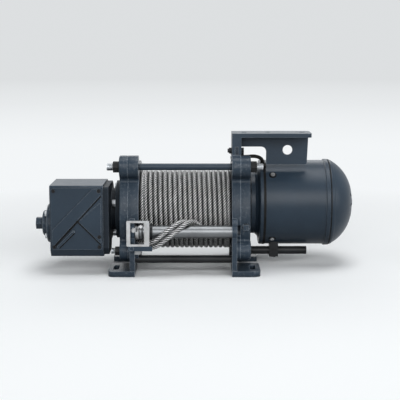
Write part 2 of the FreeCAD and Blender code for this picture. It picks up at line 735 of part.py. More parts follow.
def layshaft_pinion():
    stations = (OUTPUT_STAGE_X[0] - 1, OUTPUT_STAGE_X[1] + 1)
    return gear(LAY_PINION_T, CASE_MODULE, stations, LAY_CENTRE, LAY_R, LAY_AIM + math.pi, True)


def layshaft_bushes():
    left = ring(CASE_LEFT, CASE_LEFT + 10, CASE_BUSH_R, LAY_R + RUN, *LAY_CENTRE)
    right = ring(CASE_RIGHT, CASE_BACK - BACK_WALL, CASE_BUSH_R, LAY_R + RUN, *LAY_CENTRE)
    return group([left, right])


# Gear case: round behind about the drum axis, square in front about the layshaft
def case_outline(offset):
    """Corners of the case section, moved inwards by offset."""
    back = CASE_REAR_R - offset
    front = CASE_FRONT_Y + offset
    top = CASE_TOP_Z - offset
    bottom = CASE_BOTTOM_Z + offset
    run, rise = CASE_CHAMFER
    return [
        (front + run, bottom, 3), (front, bottom + rise, 2), (front, top, 3), (back, top, back * 0.98),
        (back, DRUM_Z - back, back * 0.98), (-14, DRUM_Z - back, 6), (-24, bottom, 6),
    ]


def gear_case():
    """Case body, open at the back plate, with shaft seats in its left wall and an inspection opening."""
    shell = plate("x", case_outline(0), CASE_LEFT, CASE_RIGHT)
    cavity = plate("x", case_outline(CASE_WALL), CASE_LEFT + CASE_END_WALL, CASE_RIGHT + 1)
    seat_end = CASE_LEFT + 13
    inside = CASE_LEFT + CASE_END_WALL - 1
    seats = [rod(inside, seat_end, CASE_BUSH_R + 5, *place) for place in (DRUM_CENTRE, LAY_CENTRE)]
    body = join([shell.cut(cavity)] + seats)
    bores = [
        rod(CASE_LEFT + 1, seat_end + 1, CASE_BUSH_R),
        rod(CASE_LEFT - 1, seat_end + 1, CASE_BUSH_R, *LAY_CENTRE),
    ]
    opening = cover_sheet(COVER_OPENING_INSET, CASE_FRONT_Y - 1, CASE_FRONT_Y + CASE_WALL + 1)
    tapped = (CASE_FRONT_Y - 1, CASE_FRONT_Y + CASE_WALL + 5)
    holes = [front_pin(x, z, COVER_SCREW_R, *tapped) for x, z in cover_screw_places()]
    return body.cut(group(bores + [opening] + holes + cap_screw_holes()))


def cover_frame(inset):
    """Rectangle of the front cover, moved inwards by inset: x low and high, z low and high."""
    left, right, bottom, top = [edge + inset for edge in COVER_INSET]
    return CASE_LEFT + left, CASE_RIGHT - right, CASE_BOTTOM_Z + bottom, CASE_TOP_Z - top


def cover_sheet(inset, y0, y1):
    """Plate with the cover's outline, moved inwards by inset."""
    x0, x1, z0, z1 = cover_frame(inset)
    return plate("y", [(x0, z0, 5), (x1, z0, 5), (x1, z1, 5), (x0, z1, 5)], y0, y1)


def cover_screw_places():
    x0, x1, z0, z1 = cover_frame(COVER_SCREW_INSET)
    return [(x0, z0), (x1, z0), (x1, z0 + COVER_SCREW_STEP), (x1, z1), (x0, z1)]


def front_pin(x, z, radius, y0, y1):
    """Round pin along Y on the front of the case."""
    return Part.makeCylinder(radius, y1 - y0, Vector(x, y0, z), Vector(0, 1, 0))


def slant_rib(ends, width, height):
    """Raised rib on the cover between two (x, z) points, with round ends."""
    front = CASE_FRONT_Y - COVER_T
    (ax, az), (bx, bz) = ends
    run = math.dist(*ends)
    side = Vector(az - bz, 0, bx - ax) * (width / 2 / run)
    base = [Vector(x, front - height, z) for x, z in ends]
    corners = [base[0] + side, base[1] + side, base[1] - side, base[0] - side]
    bar = Part.Face(Part.makePolygon(corners + corners[:1]))
    tips = [front_pin(x, z, width / 2, front - height, front) for x, z in ends]
    return join([bar.extrude(Vector(0, height, 0))] + tips)


def gear_case_cover():
    """Inspection cover on the front of the case: a raised slanting band, a raised field, a bead and a bar."""
    front = CASE_FRONT_Y - COVER_T
    band = plate("y", [(x, z, 0.6) for x, z in COVER_BAND], front - COVER_BAND_T, front)
    field = plate("y", [(x, z, 0.6) for x, z in COVER_FIELD], front - COVER_FIELD_T, front)
    bead = slant_rib(COVER_BEAD, COVER_BEAD_W, COVER_BEAD_T)
    bar = slant_rib(COVER_BAR, COVER_BAR_W, COVER_BAR_T)
    body = join([cover_sheet(0, front, CASE_FRONT_Y), band, field, bead, bar])
    places = cover_screw_places()
    holes = [front_pin(x, z, COVER_SCREW_R, front - 1, CASE_FRONT_Y + 1) for x, z in places]
    seats = [front_pin(x, z, COVER_HEAD_R + 0.6, front - 10, front) for x, z in places]
    return body.cut(group(holes)).cut(group(seats))


def cover_screws():
    """Socket heads and stems of the cover screws."""
    front = CASE_FRONT_Y - COVER_T
    screws = []
    for x, z in cover_screw_places():
        stem = front_pin(x, z, COVER_SCREW_R - RUN, front, CASE_FRONT_Y + CASE_WALL)
        head = front_pin(x, z, COVER_HEAD_R, front - COVER_HEAD_T, front)
        socket = front_pin(x, z, COVER_HEAD_R * 0.5, front - COVER_HEAD_T - 1, front - 0.8)
        screws.append(join([stem, head]).cut(socket))
    return group(screws)


def case_bolt_places():
    """Four bolts round the drum axis that hold the neck's flange to the left housing."""
    turns = [math.radians(angle) for angle in CASE_BOLT_ANGLES]
    return [(CASE_BOLT_CIRCLE * math.cos(turn), DRUM_Z + CASE_BOLT_CIRCLE * math.sin(turn)) for turn in turns]


def gear_case_backplate():
    """Back plate of the case, with the flanged neck that stands against the left housing."""
    sheet = plate("x", case_outline(BACK_STEP), CASE_RIGHT, CASE_BACK)
    neck = rod(CASE_BACK - 1, NECK_END, CASE_NECK_R)
    flange = rod(NECK_END, LEFT_OUT, CASE_FLANGE_R)
    cuts = [
        rod(CASE_RIGHT - 1, LEFT_OUT + 1, HUB_R + 1),
        rod(CASE_RIGHT - 1, CASE_BACK - BACK_WALL, CASE_BUSH_R, *LAY_CENTRE),
    ]
    cuts += [rod(NECK_END, LEFT_OUT + 1, CASE_BOLT_R + RUN, y, z) for y, z in case_bolt_places()]
    return join([sheet, neck, flange]).cut(group(cuts))


def case_mount_bolts():
    """Bolts through the neck's flange into the left housing."""
    bolts = []
    for y, z in case_bolt_places():
        head = hexagon(NECK_END - CASE_BOLT_HEAD, NECK_END, CASE_BOLT_ACROSS, y, z)
        bolts.append(join([head, rod(NECK_END, CASE_BOLT_END, CASE_BOLT_R, y, z)]))
    return group(bolts)


# Stepped cap over the layshaft end
def cap_screw_places():
    turns = [math.radians(45 + 90 * k) for k in range(4)]
    radius = CAP_SCREW_CIRCLE
    return [(LAY_Y + radius * math.cos(turn), LAY_Z + radius * math.sin(turn)) for turn in turns]


def cap_screw_holes():
    return [rod(CASE_LEFT - 20, CASE_LEFT + 6, CAP_SCREW_R + RUN, y, z) for y, z in cap_screw_places()]


def bearing_end_cap():
    """Cap with a bolted flange and a smaller raised ring."""
    x0, x1 = CAP_FLANGE_X, CASE_LEFT
    bore = CAP_PLUG_R + RUN
    profile = [
        (x1, 0), (x1, CAP_FLANGE_R), (x0 + 1.5, CAP_FLANGE_R), (x0, CAP_FLANGE_R - 1.5), (x0, CAP_RING_R),
        (CAP_RING_X + 1.5, CAP_RING_R), (CAP_RING_X, CAP_RING_R - 1.5), (CAP_RING_X, bore),
        (x1 - 3, bore), (x1 - 3, 0),
    ]
    return turned(profile, *LAY_CENTRE).cut(group(cap_screw_holes()))


def hex_plug():
    """Filler plug with a hexagon head at the outer end of the cap."""
    head = hexagon(-HALF_LENGTH, CAP_RING_X, CAP_PLUG_ACROSS, *LAY_CENTRE)
    return head.fuse(rod(CAP_RING_X, CAP_RING_X + 8, CAP_PLUG_R, *LAY_CENTRE))


def cap_screws():
    screws = []
    for y, z in cap_screw_places():
        stem = rod(CAP_FLANGE_X, CASE_LEFT + 5.5, CAP_SCREW_R, y, z)
        screws.append(join([stem, hexagon(CAP_FLANGE_X - 3, CAP_FLANGE_X, 7.0, y, z)]))
    return group(screws)


# Motor
def motor_front_shield():
    """Neck on the right housing, opening to the rim and to the spigot that the shell seats on."""
    x0, x1 = RIM_X
    seat = SHELL_IN_R - 0.1
    bearing_x = RIGHT_OUT + 8
    profile = [
        (RIGHT_OUT, MOTOR_BORE_R), (RIGHT_OUT, NECK_R - NECK_STEP), (RIGHT_OUT + 4, NECK_R - NECK_STEP),
        (RIGHT_OUT + 4, NECK_R), (x0 - 6.5, NECK_R), (x0 - 3, NECK_R + NECK_STEP), (x0, RIM_R - 8),
        (x0, RIM_R - 1.5), (x0 + 1.5, RIM_R), (x1, RIM_R), (x1, seat), (x1 + SPIGOT_L, seat),
        (x1 + SPIGOT_L, seat - SPIGOT_T),
        (x1 - 4, seat - SPIGOT_T), (x1 - 4, MOTOR_BEARING_R + 6), (x1, MOTOR_BEARING_R + 6),
        (x1, MOTOR_BEARING_R), (bearing_x, MOTOR_BEARING_R), (bearing_x, MOTOR_BORE_R),
    ]
    cuts = [rod(RIGHT_OUT - 1, RIGHT_OUT + 3, SHAFT_END_R + 5), lead_gland_hole()] + shell_screw_holes()
    return turned(profile, *MOTOR_CENTRE).cut(group(cuts))


def motor_shell():
    return ring(RIM_X[1], SHELL_END, SHELL_R, SHELL_IN_R, *MOTOR_CENTRE).cut(group(shell_screw_holes()))


def shell_screw_angles():
    return [math.radians(angle) for angle in SHELL_SCREW_ANGLES]


def radial_pin(x, radius, r0, r1, angle):
    """Pin standing radially on the motor axis."""
    outward = Vector(0, math.cos(angle), math.sin(angle))
    return Part.makeCylinder(radius, r1 - r0, Vector(x, MOTOR_Y, MOTOR_Z) + outward * r0, outward)


def shell_screw_holes():
    depth = (SHELL_IN_R - 8, SHELL_R + 8)
    return [radial_pin(SHELL_SCREW_X, SHELL_SCREW_R, *depth, angle) for angle in shell_screw_angles()]


def shell_screws():
    """Screws that hold the shell on the front shield's spigot."""
    screws = []
    for angle in shell_screw_angles():
        stem = radial_pin(SHELL_SCREW_X, SHELL_SCREW_R - RUN, SHELL_IN_R - SPIGOT_T, SHELL_R + 0.5, angle)
        head = radial_pin(SHELL_SCREW_X, SHELL_HEAD_R, SHELL_R + 0.1, SHELL_R + 1.7, angle)
        screws.append(join([stem, head]))
    return group(screws)


def motor_rear_shield():
    """Plate with the rear bearing seat, inside the shell's end."""
    x0 = SHELL_END - REAR_SHIELD_T
    bearing_end = SHELL_END - 2
    profile = [
        (x0, MOTOR_BEARING_R), (x0, SHELL_IN_R - 0.1), (SHELL_END, SHELL_IN_R - 0.1),
        (SHELL_END, MOTOR_SHAFT_R + 1), (bearing_end, MOTOR_SHAFT_R + 1), (bearing_end, MOTOR_BEARING_R),
    ]
    return turned(profile, *MOTOR_CENTRE)


def motor_bearings():
    bore = MOTOR_SHAFT_R + RUN
    front = ring(RIGHT_OUT + 8, RIM_X[1], MOTOR_BEARING_R, bore, *MOTOR_CENTRE)
    rear = ring(SHELL_END - REAR_SHIELD_T, SHELL_END - 2, MOTOR_BEARING_R, bore, *MOTOR_CENTRE)
    return group([front, rear])


def stator_core():
    return ring(*CORE_X, SHELL_IN_R, CORE_IN_R, *MOTOR_CENTRE)


def stator_winding():
    inner, outer = WINDING_R
    ends = [(RIM_X[1] + 7.5, CORE_X[0]), (CORE_X[1], SHELL_END - REAR_SHIELD_T - 1.5)]
    return group(ring(a, b, outer, inner, *MOTOR_CENTRE) for a, b in ends)


def motor_shaft():
    """Shaft with a reduced end for the pinion."""
    x0 = FIRST_STAGE_X[0]
    step = FIRST_STAGE_X[1] + 1
    x1 = FAN_X[1] + 1
    radius = MOTOR_SHAFT_R
    profile = [(x0, 0), (x0, PINION_BORE), (step, PINION_BORE), (step, radius), (x1, radius), (x1, 0)]
    return turned(profile, *MOTOR_CENTRE)


def motor_pinion():
    aim = MOTOR_AIM + math.pi
    return gear(MOTOR_PINION_T, MOTOR_MODULE, FIRST_STAGE_X, MOTOR_CENTRE, PINION_BORE, aim, True)


def rotor_core():
    return ring(*CORE_X, ROTOR_R, MOTOR_SHAFT_R, *MOTOR_CENTRE)


def brake_magnet():
    return ring(*BRAKE_X, BRAKE_R, MOTOR_SHAFT_R + 6, *MOTOR_CENTRE)


def brake_disc():
    return ring(*BRAKE_DISC_X, BRAKE_R - 1, MOTOR_SHAFT_R, *MOTOR_CENTRE)


def cooling_fan():
    """Hub with a back plate and straight radial blades."""
    x0, x1 = FAN_X
    hub_r = MOTOR_SHAFT_R + 6
    hub = ring(x0, x1, hub_r, MOTOR_SHAFT_R, *MOTOR_CENTRE)
    web = ring(x0, x0 + 2, FAN_R, MOTOR_SHAFT_R, *MOTOR_CENTRE)
    blade = block((x0 + 1, x1 - 2), (hub_r - 2, FAN_R - 1), (-1, 1))
    return join([hub, web] + round_motor(blade, FAN_BLADES))


def round_motor(shape, count):
    """Copies of a shape made round the X axis, spaced evenly round the motor axis."""
    copies = []
    for k in range(count):
        copy = shape.copy()
        copy.rotate(Vector(0, 0, 0), Vector(1, 0, 0), 360.0 * k / count)
        copy.translate(Vector(0, *MOTOR_CENTRE))
        copies.append(copy)
    return copies


def cowl_body(grow):
    """Solid of the cowl's outside, or of its inside when grow is minus the wall."""
    side = SHELL_R + 0.8 + grow
    tip = HALF_LENGTH + grow

    def at_r(x, radius):
        return Vector(x, MOTOR_Y, MOTOR_Z + radius)

    shoulder = [at_r(x, side - drop) for x, drop in COWL_SHOULDER]
    dome = [at_r(tip - back, side - drop) for back, drop in COWL_DOME]
    edges = [
        Part.makeLine(at_r(SHELL_END, 0), at_r(SHELL_END, side)),
        Part.makeLine(at_r(SHELL_END, side), shoulder[0]),
        Part.Arc(*shoulder).toShape(),
        Part.Arc(shoulder[2], *dome).toShape(),
        Part.makeLine(dome[1], at_r(tip, COWL_TIP_R)),
        Part.makeLine(at_r(tip, COWL_TIP_R), at_r(tip, 0)),
        Part.makeLine(at_r(tip, 0), at_r(SHELL_END, 0)),
    ]
    return Part.Face(Part.Wire(edges)).revolve(Vector(0, MOTOR_Y, MOTOR_Z), Vector(1, 0, 0), 360)


def fan_cowl():
    """Domed cowl with a lip on the shell and a ring of air slots in its end."""
    x0, x1 = SHELL_END, COWL_LIP_END
    lip_r = COWL_LIP_R
    profile = [(x0, 0), (x0, lip_r - 1), (x0 + 1, lip_r), (x1 - 1, lip_r), (x1, lip_r - 1), (x1, 0)]
    corners = [(18, -2, 1.9), (34, -2, 1.9), (34, 2, 1.9), (18, 2, 1.9)]
    slot = plate("x", corners, FAN_X[1] - 4, HALF_LENGTH + 3)
    body = join([cowl_body(0.0), turned(profile, *MOTOR_CENTRE)])
    return body.cut(group([cowl_body(-COWL_T)] + round_motor(slot, COWL_SLOTS)))


# Top bracket
def top_bracket():
    """Post, drilled flange and windowed web in one casting; the post's fork sits over the frame's tongue."""
    x0, x1 = BRACKET_X
    y0, y1 = BRACKET_Y
    under = BRACKET_TOP - BRACKET_T
    inside = x0 + POST_W - 1
    flange = plate("z", [(x0, y0, 2), (x1, y0, 6), (x1, y1, 6), (x0, y1, 2)], under, BRACKET_TOP)
    post = block((x0, x0 + POST_W), (y0, y1), (PAD_Z, under))
    fork_x = (TONGUE_X[0] - FORK_GAP, TONGUE_X[1] + FORK_GAP)
    fork = block(fork_x, (y0 - 1, y0 + TONGUE_L + 3), (PAD_Z - 1, PAD_Z + TONGUE_H + 0.5))
    web_outline = [
        (inside, under + 3, 0), (x1 - 1, under + 3, 0), (x1 - 3, WEB_BOTTOM, 3), (WINDOW_X[1], WEB_BOTTOM, 2),
        (WINDOW_X[1], WINDOW_TOP, 8), (inside, WINDOW_TOP, 0),
    ]
    web = plate("y", web_outline, y1 - WEB_T, y1)
    x, z, radius = WEB_HOLE
    places = [Vector(hole_x, FLANGE_HOLE_Y, under - 6) for hole_x in FLANGE_HOLES_X]
    holes = [Part.makeCylinder(FLANGE_HOLE_R, 20, place) for place in places]
    holes.append(Part.makeCylinder(radius, 20, Vector(x, y1 - 12, z), Vector(0, 1, 0)))
    holes.append(rod(x0 - 1, x0 + POST_W + 1, BOLT_R + ROD_FIT, BOLT_Y, BOLT_Z))
    return join([flange, post, web]).cut(group([fork] + holes))


def bracket_bolt():
    """Cross bolt through the fork and tongue, with its nut on the left."""
    x0 = BRACKET_X[0]
    x1 = x0 + POST_W
    head = hexagon(x1, x1 + 4, BOLT_ACROSS, BOLT_Y, BOLT_Z)
    bolt = join([rod(x0 - 6.5, x1, BOLT_R, BOLT_Y, BOLT_Z), head])
    return group([bolt, nut(x0 - 4.5, x0, BOLT_ACROSS, BOLT_R, BOLT_Y, BOLT_Z)])


# Motor lead from the frame's pad to the motor rim
def rim_point(radius):
    """Point above the motor rim where the lead comes down."""
    turn = LEAD_RIM_ANGLE
    return (LEAD_RIM_X, MOTOR_Y + radius * math.cos(turn), MOTOR_Z + radius * math.sin(turn))


def lead_gland_hole():
    return radial_pin(LEAD_RIM_X, LEAD_R + 0.8, RIM_R - 8, RIM_R + 4, LEAD_RIM_ANGLE)


def lead_route():
    """Route points of the lead from gland to gland."""
    y, z = LEAD_EXIT
    start = RIGHT_SEAM - 2
    return [
        (start, y, z), (start + 13, y, z), (start + 24, y + 2, z + 1), (start + 33, y + 7, z - 1.8),
        rim_point(RIM_R + 13), rim_point(RIM_R - 2),
    ]


def motor_lead():
    return tube_path(lead_route(), LEAD_R)


def lead_glands():
    """Gland nut on the frame's pad and gland on the motor rim."""
    x0 = RIGHT_SEAM
    pad = nut(x0, x0 + LEAD_GLAND_L, LEAD_GLAND_ACROSS, LEAD_R, *LEAD_EXIT)
    rim = radial_pin(LEAD_RIM_X, LEAD_GLAND_ACROSS / 2, RIM_R - 0.5, RIM_R + LEAD_GLAND_L, LEAD_RIM_ANGLE)
    bore = radial_pin(LEAD_RIM_X, LEAD_R + RUN, RIM_R - 5, RIM_R + 8, LEAD_RIM_ANGLE)
    seat = rod(RIM_X[0] - 5, RIM_X[1] + 5, RIM_R, *MOTOR_CENTRE)
    return group([pad, rim.cut(group([bore])).cut(seat)])


# Support rod and clamp under the motor
def support_rod():
    return rod(RIGHT_OUT - SUPPORT_SOCKET, SUPPORT_END, SUPPORT_R, SUPPORT_Y, SUPPORT_Z)


def support_clamp():
    """Clamp block with a saddle for the motor shell."""
    x0, x1 = CLAMP_X
    bottom = SUPPORT_Z - CLAMP_BELOW
    body = block((x0, x1), (SUPPORT_Y - CLAMP_HALF_Y, SUPPORT_Y + CLAMP_HALF_Y), (bottom, CLAMP_TOP))
    saddle = rod(x0 - 1, x1 + 1, SHELL_R + RUN, *MOTOR_CENTRE)
    bore = rod(x0 - 1, x1 + 1, SUPPORT_R + RUN, SUPPORT_Y, SUPPORT_Z)
    start = Vector((x0 + x1) / 2, SUPPORT_Y, bottom - 1)
    screw = Part.makeCylinder(CLAMP_SCREW_R + RUN, CLAMP_BELOW + 1, start)
    return body.cut(saddle).cut(group([bore])).cut(screw)


def clamp_screw():
    """Set screw in the underside of the clamp."""
    x = (CLAMP_X[0] + CLAMP_X[1]) / 2
    bottom = SUPPORT_Z - CLAMP_BELOW
    stem = Part.makeCylinder(CLAMP_SCREW_R, CLAMP_BELOW - SUPPORT_R - 0.1, Vector(x, SUPPORT_Y, bottom))
    head = Part.makeCylinder(CLAMP_SCREW_R * 1.8, 2.0, Vector(x, SUPPORT_Y, bottom - 2.0))
    return join([stem, head])


# Guide bar, rope anchor and rope tail
def rope_guide_bar():
    """Polished bar with a stub in the left leg and two turned collars beside a groove at that end."""
    x0 = LEFT_LEG + ROD_WALL
    x1 = RIGHT_IN + LEG_T
    turn = LEFT_LEG + LEG_T + 0.2
    profile = [
        (x0, 0), (x0, BAR_STUB_R - 1), (x0 + 1, BAR_STUB_R), (turn, BAR_STUB_R), (turn, BAR_R - 0.4),
        (turn + 1.2, BAR_R + 0.8), (turn + 2.8, BAR_R + 0.8), (turn + 4.2, BAR_GROOVE_R),
        (turn + 6.0, BAR_GROOVE_R),
        (turn + 7.5, BAR_EAR_R - 0.2), (turn + 10.5, BAR_EAR_R + 0.2), (turn + 12.5, BAR_R),
        (x1 - 1, BAR_R), (x1, BAR_R - 1), (x1, 0),
    ]
    return turned(profile, BAR_Y, BAR_Z)


def guide_bar_collar():
    return ring(*COLLAR_X, BAR_EAR_R, BAR_R + RUN, BAR_Y, BAR_Z)


def rope_anchor_frame():
    """Square ring of zinc plate standing on the shelf."""
    x0, x1 = ANCHOR_X
    z0, z1 = ANCHOR_Z
    left, right, rail = ANCHOR_STILE
    a0, a1 = x0 + left, x1 - right
    b0, b1 = z0 + rail, z1 - rail
    outline = [(x0, z0, 1.5), (x1, z0, 1.5), (x1, z1, 1.5), (x0, z1, 1.5)]
    opening = [(a0, b0, 1), (a1, b0, 1), (a1, b1, 1), (a0, b1, 1)]
    sheet = plate("y", outline, ANCHOR_FRONT, ANCHOR_BACK)
    return sheet.cut(plate("y", opening, ANCHOR_FRONT - 1, ANCHOR_BACK + 1))


def anchor_shelf():
    """Shelf lip under the anchor frame, carried by a web on the front edge of the left leg."""
    x0, x1 = SHELF_X
    lip = block((x0, x1), (ANCHOR_FRONT, ANCHOR_BACK), SHELF_Z)
    web = block((x0, LEFT_LEG + LEG_T + 2), (ANCHOR_BACK - 1, -LEG_HALF_Y), SHELF_Z)
    return join([lip, web]).cut(group(anchor_screw_holes()))


def shelf_pin(radius, start, length):
    """Round pin along Y on the axis of the shelf screw, from a depth behind the shelf's front."""
    place = Vector(LEFT_LEG + LEG_T / 2, ANCHOR_FRONT + start, (SHELF_Z[0] + SHELF_Z[1]) / 2)
    return Part.makeCylinder(radius, length, place, Vector(0, 1, 0))


def anchor_screw_holes():
    """Drilling and counterbore for the shelf screw."""
    return [shelf_pin(SHELF_SCREW_R, 0, SHELF_SCREW_L + 1), shelf_pin(SHELF_SCREW_R * 1.5, 0, 2)]


def anchor_screw():
    """Flush screw through the shelf into the leg's front edge."""
    stem = shelf_pin(SHELF_SCREW_R - RUN, 0.2, SHELF_SCREW_L)
    return join([stem, shelf_pin(SHELF_SCREW_R * 1.5 - RUN, 0.2, 1.8)])


def rope_end_holes():
    """Sockets in the left casting, in line with the first run of each rope."""
    holes = []
    for route in (UPPER_TAIL, LOWER_TAIL):
        start = Vector(*route[0])
        along = (Vector(*route[1]) - start).normalize()
        holes.append(Part.makeCylinder(ROPE_D / 2 + RUN, ROPE_SOCKET_L, start, along))
    return holes


def rope_tail():
    return group(tube_path(route, ROPE_D / 2) for route in (UPPER_TAIL, LOWER_TAIL))


PARTS = {
    "left_end_frame": left_end_frame,
    "right_end_frame": right_end_frame,
    "left_outer_housing": left_outer_housing,
    "right_gear_housing": right_gear_housing,
    "top_tie_rod": top_tie_rod,
    "front_tie_rod": lambda: tie_rod(*leg_rod_span(), *FRONT_ROD),
    "rear_tie_rod": lambda: tie_rod(*leg_rod_span(), *REAR_ROD),
    "tie_rod_nuts": tie_rod_nuts,
    "casting_bolts": casting_bolts,
    "oil_plug": oil_plug,
    "rope_guide_bar": rope_guide_bar,
    "guide_bar_collar": guide_bar_collar,
    "rope_anchor_frame": rope_anchor_frame,
    "anchor_shelf": anchor_shelf,
    "anchor_screw": anchor_screw,
    "rope_tail": rope_tail,
    "gear_case": gear_case,
    "gear_case_cover": gear_case_cover,
    "cover_screws": cover_screws,
    "gear_case_backplate": gear_case_backplate,
    "case_mount_bolts": case_mount_bolts,
    "bearing_end_cap": bearing_end_cap,
    "cap_screws": cap_screws,
    "hex_plug": hex_plug,
    "motor_front_shield": motor_front_shield,
    "motor_shell": motor_shell,
    "shell_screws": shell_screws,
    "motor_rear_shield": motor_rear_shield,
    "motor_bearings": motor_bearings,
    "stator_core": stator_core,
    "stator_winding": stator_winding,
    "brake_magnet": brake_magnet,
    "fan_cowl": fan_cowl,
    "top_bracket": top_bracket,
    "bracket_bolt": bracket_bolt,
    "motor_lead": motor_lead,
    "lead_glands": lead_glands,
    "support_rod": support_rod,
    "support_clamp": support_clamp,
    "clamp_screw": clamp_screw,
    "drum_bearing_left": drum_bearing_left,
    "drum_bush_left": drum_bush_left,
    "drum_bush_right": drum_bush_right,
    "drive_shaft_bushes": drive_shaft_bushes,
    "layshaft_bushes": layshaft_bushes,
    "drum": drum,
    "rope_winding": rope_winding,
    "output_gear": output_gear,
    "hub_bushes": hub_bushes,
    "drive_shaft": drive_shaft,
    "first_stage_gear": first_stage_gear,
    "input_pinion": input_pinion,
    "layshaft": layshaft,
    "layshaft_gear": layshaft_gear,
    "layshaft_pinion": layshaft_pinion,
    "motor_shaft": motor_shaft,
    "motor_pinion": motor_pinion,
    "rotor_core": rotor_core,
    "brake_disc": brake_disc,
    "cooling_fan": cooling_fan,
}

os.makedirs("parts", exist_ok=True)
for name, make in PARTS.items():
    shape = make()
    shape.exportStep("parts/" + name + ".step")
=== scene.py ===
"""Looks of the electric winch hoist: finishes, stranded wire rope, threads and screws, studio and camera.

The frame is that of the solids: +X along the drum axis towards the motor, -Y to the camera, +Z up.
Values are in metres, apart from those that a comment gives in millimetres.
"""

import json
import math

import bpy
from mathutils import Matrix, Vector


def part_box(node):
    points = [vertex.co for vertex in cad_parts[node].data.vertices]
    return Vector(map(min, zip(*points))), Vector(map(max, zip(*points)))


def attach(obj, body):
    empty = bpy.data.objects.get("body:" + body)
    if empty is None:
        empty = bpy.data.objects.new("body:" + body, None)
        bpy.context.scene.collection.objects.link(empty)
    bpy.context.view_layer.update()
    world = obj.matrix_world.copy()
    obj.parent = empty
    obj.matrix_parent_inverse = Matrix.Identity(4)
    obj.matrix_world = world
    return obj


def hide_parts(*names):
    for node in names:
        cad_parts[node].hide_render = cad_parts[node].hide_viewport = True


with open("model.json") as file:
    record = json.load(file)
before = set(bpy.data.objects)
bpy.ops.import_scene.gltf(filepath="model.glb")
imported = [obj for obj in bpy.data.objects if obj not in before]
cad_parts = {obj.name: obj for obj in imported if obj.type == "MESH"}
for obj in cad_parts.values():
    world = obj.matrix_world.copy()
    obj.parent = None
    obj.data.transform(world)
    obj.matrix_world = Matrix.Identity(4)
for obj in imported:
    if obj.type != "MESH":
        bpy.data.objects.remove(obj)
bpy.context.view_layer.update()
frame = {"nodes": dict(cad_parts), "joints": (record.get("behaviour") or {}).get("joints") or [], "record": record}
NODES = frame["nodes"]
RECORD = frame["record"]
MM = 0.001

# Axes of the hoist, from the record's joints
JOINT_AT = {joint["name"]: Vector(joint["pos_m"]) for joint in frame["joints"]}
DRUM_AXIS = JOINT_AT["drum_spin"]
MOTOR_AXIS = JOINT_AT["rotor_spin"]

# Camera: its place, and its focal length and downward pitch in pixels of a 400 pixel picture
IMAGE_PX = 400
FOCAL_PX = 1050
HORIZON_RISE_PX = 160
SENSOR_MM = 36.0
CAMERA_AT = Vector((0.0047, -1.631, 0.3525))
VIEW_REACH = 200.0

# Rope: radius, strands, length of one twist, and the radii of strands and core as shares of its own
ROPE_R = 3.72 * MM
ROPE_STRANDS = 5
ROPE_LAY = 21.0 * MM
STRAND_SHARE = 0.32
CORE_SHARE = 0.55
STRAND_SIDES = 8

# Painted shade on a wound strand: slope and lift of its brightness on its height in the rope, and the least on its
# flanks
PAINTED_FLANK_SLOPE = 1.1
PAINTED_FLANK_LIFT = 0.4
PAINTED_FLANK_LEAST = 0.3

# Winding: turns, steps in a turn, start, stretch beside each flange, and the angle and depth over which
# its ends tuck into the barrel; angles in radians
WIND_TURNS = 18.67
WIND_STEPS = 160
WIND_START = math.radians(60.0)
WIND_FLAT = math.radians(205.0)
TUCK_ANGLE = 0.2
TUCK_DEPTH = 1.9 * ROPE_R

# Routes of the two runs of the rope's dead end, in millimetres
UPPER_TAIL = (
    (-93.0, -62.0, 50.0), (-80.0, -75.2, 50.95), (-67.1, -88.6, 51.9), (-47.7, -90.6, 68.2),
    (-34.3, -87.6, 78.0), (-23.0, -77.0, 82.6), (-13.0, -66.0, 80.0), (-6.5, -62.7, 72.0),
)
LOWER_TAIL = (
    (-93.0, -64.0, 41.5), (-77.2, -76.5, 43.5), (-61.4, -89.0, 45.5), (-41.5, -90.8, 61.5),
    (-22.0, -88.0, 77.0), (-11.2, -77.0, 82.6), (-1.2, -66.0, 80.0), (5.3, -62.7, 72.0),
)

# Route of the motor lead from the frame's pad to the motor's rim, in millimetres
MOTOR_LEAD = (
    (64.0, -24.0, 175.0), (77.0, -24.0, 175.0), (88.0, -22.0, 176.0),
    (97.0, -17.0, 173.2), (102.0, -10.02, 167.81), (102.0, -2.98, 154.57),
)
LEAD_R = 2.8 * MM
LEAD_ROUNDNESS = 4

# Routes: steps between two points of a curve, and the curve's order
ROUTE_STEPS = 24
ROUTE_ORDER = 3

# Threads, in millimetres: pitch, height, fade at both ends and lift off the rod, then the left studs
THREAD_PITCH = 1.25
THREAD_DEPTH = 0.55
THREAD_FADE = 1.2
THREAD_LIFT = 0.03
THREAD_SIDES = 32
ROWS_PER_PITCH = 6
STUD_R = 4.0
STUD_THREAD = 6.0
STUD_NUT_ACROSS = 12.0

# Motor's shell screws, in millimetres: seats as radii from the motor's axis, and (along, radius) profiles
SCREW_X = 117.5
SCREW_ANGLES = (133, 231, 313, 51)
# Black ring of painted shade round each screw: its seat and profile
PAINTED_SHADE_SEAT = 66.55
PAINTED_SHADE_RING = ((0.0, 3.5), (0.0, 5.6), (0.45, 5.6), (0.8, 5.0), (0.8, 3.5))
FACE_SEAT = 68.4
FACE_RING = ((0.0, 1.3), (0.0, 3.2), (0.4, 3.0), (0.4, 1.3))

# Clamp on the turned end of the guide bar, in millimetres: (y, z) of its axis, (x, radius) profiles, and
# the strap's arc in degrees up from the front
GUIDE_AXIS = (-76.0, 67.0)
CLAMP_STRAP = ((-92.4, 10.7), (-92.4, 11.5), (-91.9, 11.9), (-87.5, 11.9), (-87.0, 11.5), (-87.0, 10.7))
STRAP_ARC = (-75.0, 8.0)
STRAP_STEPS = 20
CLAMP_BAND = ((-89.0, 7.45), (-89.0, 9.2), (-88.6, 9.6), (-87.8, 9.6), (-87.4, 9.2), (-87.4, 7.45))

